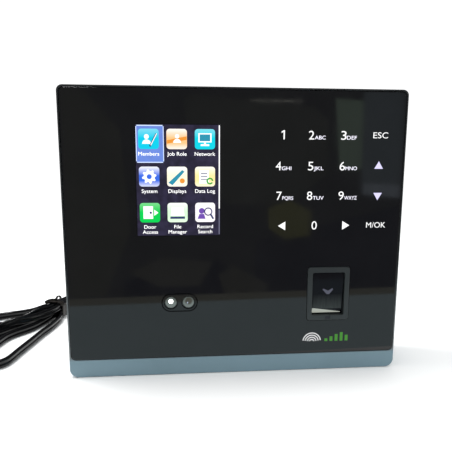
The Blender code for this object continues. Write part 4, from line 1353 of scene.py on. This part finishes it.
def reflected_card(name, corners, colour, faces=None):
    """A card that shows only in reflections."""
    card = object_of(name, mesh_from(name, corners, faces or [tuple(range(len(corners)))]))
    look = Look(name)
    look.into("Base Color", (0.0, 0.0, 0.0))
    look.into("Roughness", 1.0)
    look.into("Specular IOR Level", 0.0)
    look.into("Emission Color", colour)
    look.into("Emission Strength", 1.0)
    card.data.materials.append(look.material)
    for kind in ("camera", "diffuse", "transmission", "volume_scatter", "shadow"):
        setattr(card, f"visible_{kind}", False)


def table_strip(near, far, height, wide):
    """Corners of a strip of the table between two lines running along its front edge."""
    return [
        (-wide, table_edge(-wide, near), height), (wide, table_edge(wide, near), height),
        (wide, table_edge(wide, far), height), (-wide, table_edge(-wide, far), height),
    ]


def dim_surround():
    """A dim shell that only reflections see, so that glossy parts stay dark."""
    bm = bmesh.new()
    bmesh.ops.create_icosphere(bm, subdivisions=3, radius=2.2)
    bm.verts.ensure_lookup_table()
    corners = [tuple(v.co) for v in bm.verts]
    faces = [tuple(v.index for v in f.verts) for f in bm.faces]
    bm.free()
    reflected_card("dim_surround", corners, DIM, faces)


# What the glass shows of the room: name, colour, millimetres nearer than the far plane,
# and the corners' x and z on the glass in millimetres
ROOM_SHAPES = (
    ("screen_far", (0.50, 0.66, 0.52), 0, (51, 149), (54.5, 112.5), (66.5, 112.5), (66, 148)),
    ("pale_wall", (0.30, 0.36, 0.40), 0, (66, 153), (67, 99), (88.5, 97), (88.5, 153)),
    ("pale_band", (0.60, 0.68, 0.78), 20, (68, 105), (68.2, 99), (88.5, 97), (88.5, 104)),
    ("bright_line", (1.6, 1.6, 1.4), 0, (-6, 147), (33.5, 147), (33.5, 147.6), (-6, 147.7)),
    ("left_shape", (0.18, 0.185, 0.16), 0, (-88.5, 152), (-78, 152), (-60, 132), (-56, 80),
     (-70, 45), (-88.5, 45)),
    ("middle_shape", (0.17, 0.18, 0.165), 10, (-27.5, 149), (-22, 150), (40, 144.5),
     (47.5, 138), (48, 110), (28, 94), (-5, 94), (-25, 112)),
    ("dark_right", (0.09, 0.095, 0.125), 5, (10, 74), (88.5, 93), (88.5, 30), (10, 30)),
    ("dark_middle", (0.07, 0.075, 0.105), 8, (-60, 54), (-10, 64), (12, 45), (12, 30), (-60, 30)),
    ("yellow_shape", (0.36, 0.36, 0.17), 20, (16.5, 92), (28, 96), (40, 90), (39.5, 77),
     (26, 75), (17, 81)),
    ("low_left", (0.20, 0.20, 0.18), 15, (-57, 58), (-40, 66), (-13, 63), (-20, 50), (-42, 50)),
    ("low_middle", (0.20, 0.20, 0.18), 15, (-10, 56), (-2, 61), (18, 50), (14, 43), (-6, 43)),
)


def room():
    """The dim room in front of the terminal, seen only in its glass."""
    dim_surround()
    reflected_card("table_edge_strip", table_strip(0.0, 0.0195, 0.0010, 3.0), (0.40, 0.40, 0.33))
    reflected_card("table_top", table_strip(-0.105, 0.0, 0.0012, 3.0), (0.66, 0.82, 0.86))
    for name, colour, nearer, *spots in ROOM_SHAPES:
        plane = ROOM_FAR + nearer / 1000
        reflected_card(name, [mirrored_at(x / 1000, z / 1000, plane) for x, z in spots], colour)


def stage():
    """A white table that ends a hand's breadth in front of the terminal, and the room."""
    wide, back = 2.5, 1.4
    rings = []
    for z in (-0.0202, -0.0002):
        rings.append([
            (-wide, table_edge(-wide), z), (wide, table_edge(wide), z), (wide, back, z),
            (-wide, back, z),
        ])
    floor = loft("floor", rings)
    white = Look("pale_floor")
    white.into("Base Color", (0.93, 0.94, 0.94))
    white.into("Roughness", 0.9)
    white.into("Specular IOR Level", 0.0)
    floor.data.materials.append(white.material)
    room()


def camera():
    """The view, a little from the left and from above."""
    data = bpy.data.cameras.new("camera")
    data.lens = 36.78
    data.sensor_width = 36.0
    data.clip_start = 0.01
    o = bpy.data.objects.new("camera", data)
    o.location = CAMERA_PLACE
    o.rotation_euler = [math.radians(a) for a in CAMERA_TURN]
    bpy.context.scene.collection.objects.link(o)
    bpy.context.scene.camera = o


def area_light(name, place, target, size, power, colour=(1.0, 1.0, 1.0)):
    """A square light at place, facing target."""
    data = bpy.data.lights.new(name, "AREA")
    data.shape = "RECTANGLE"
    data.size, data.size_y = size
    data.energy = power
    data.color = colour
    o = bpy.data.objects.new(name, data)
    o.location = place
    o.rotation_euler = (Vector(target) - Vector(place)).to_track_quat("-Z", "Y").to_euler()
    bpy.context.scene.collection.objects.link(o)


def lights():
    """Even white light from all round, and a weak lamp overhead."""
    world = bpy.data.worlds.new("studio")
    world.use_nodes = True
    bpy.context.scene.world = world
    background = world.node_tree.nodes["Background"]
    background.inputs["Color"].default_value = (1.0, 1.0, 1.0, 1.0)
    background.inputs["Strength"].default_value = 1.12
    area_light("top_light", (-0.25, 0.05, 0.7), (-0.1, 0.0, 0.0), (0.16, 0.16), 3.0)
    bpy.context.scene.view_settings.view_transform = "Standard"


dress_cad_nodes()
cords()
front_panel()
key_legends()
screen_picture()
camera_window()
sensor()
generic_mark()
terminal_screws()
jack_contacts()
usb_tongue()
board_details()
stage()
camera()
lights()
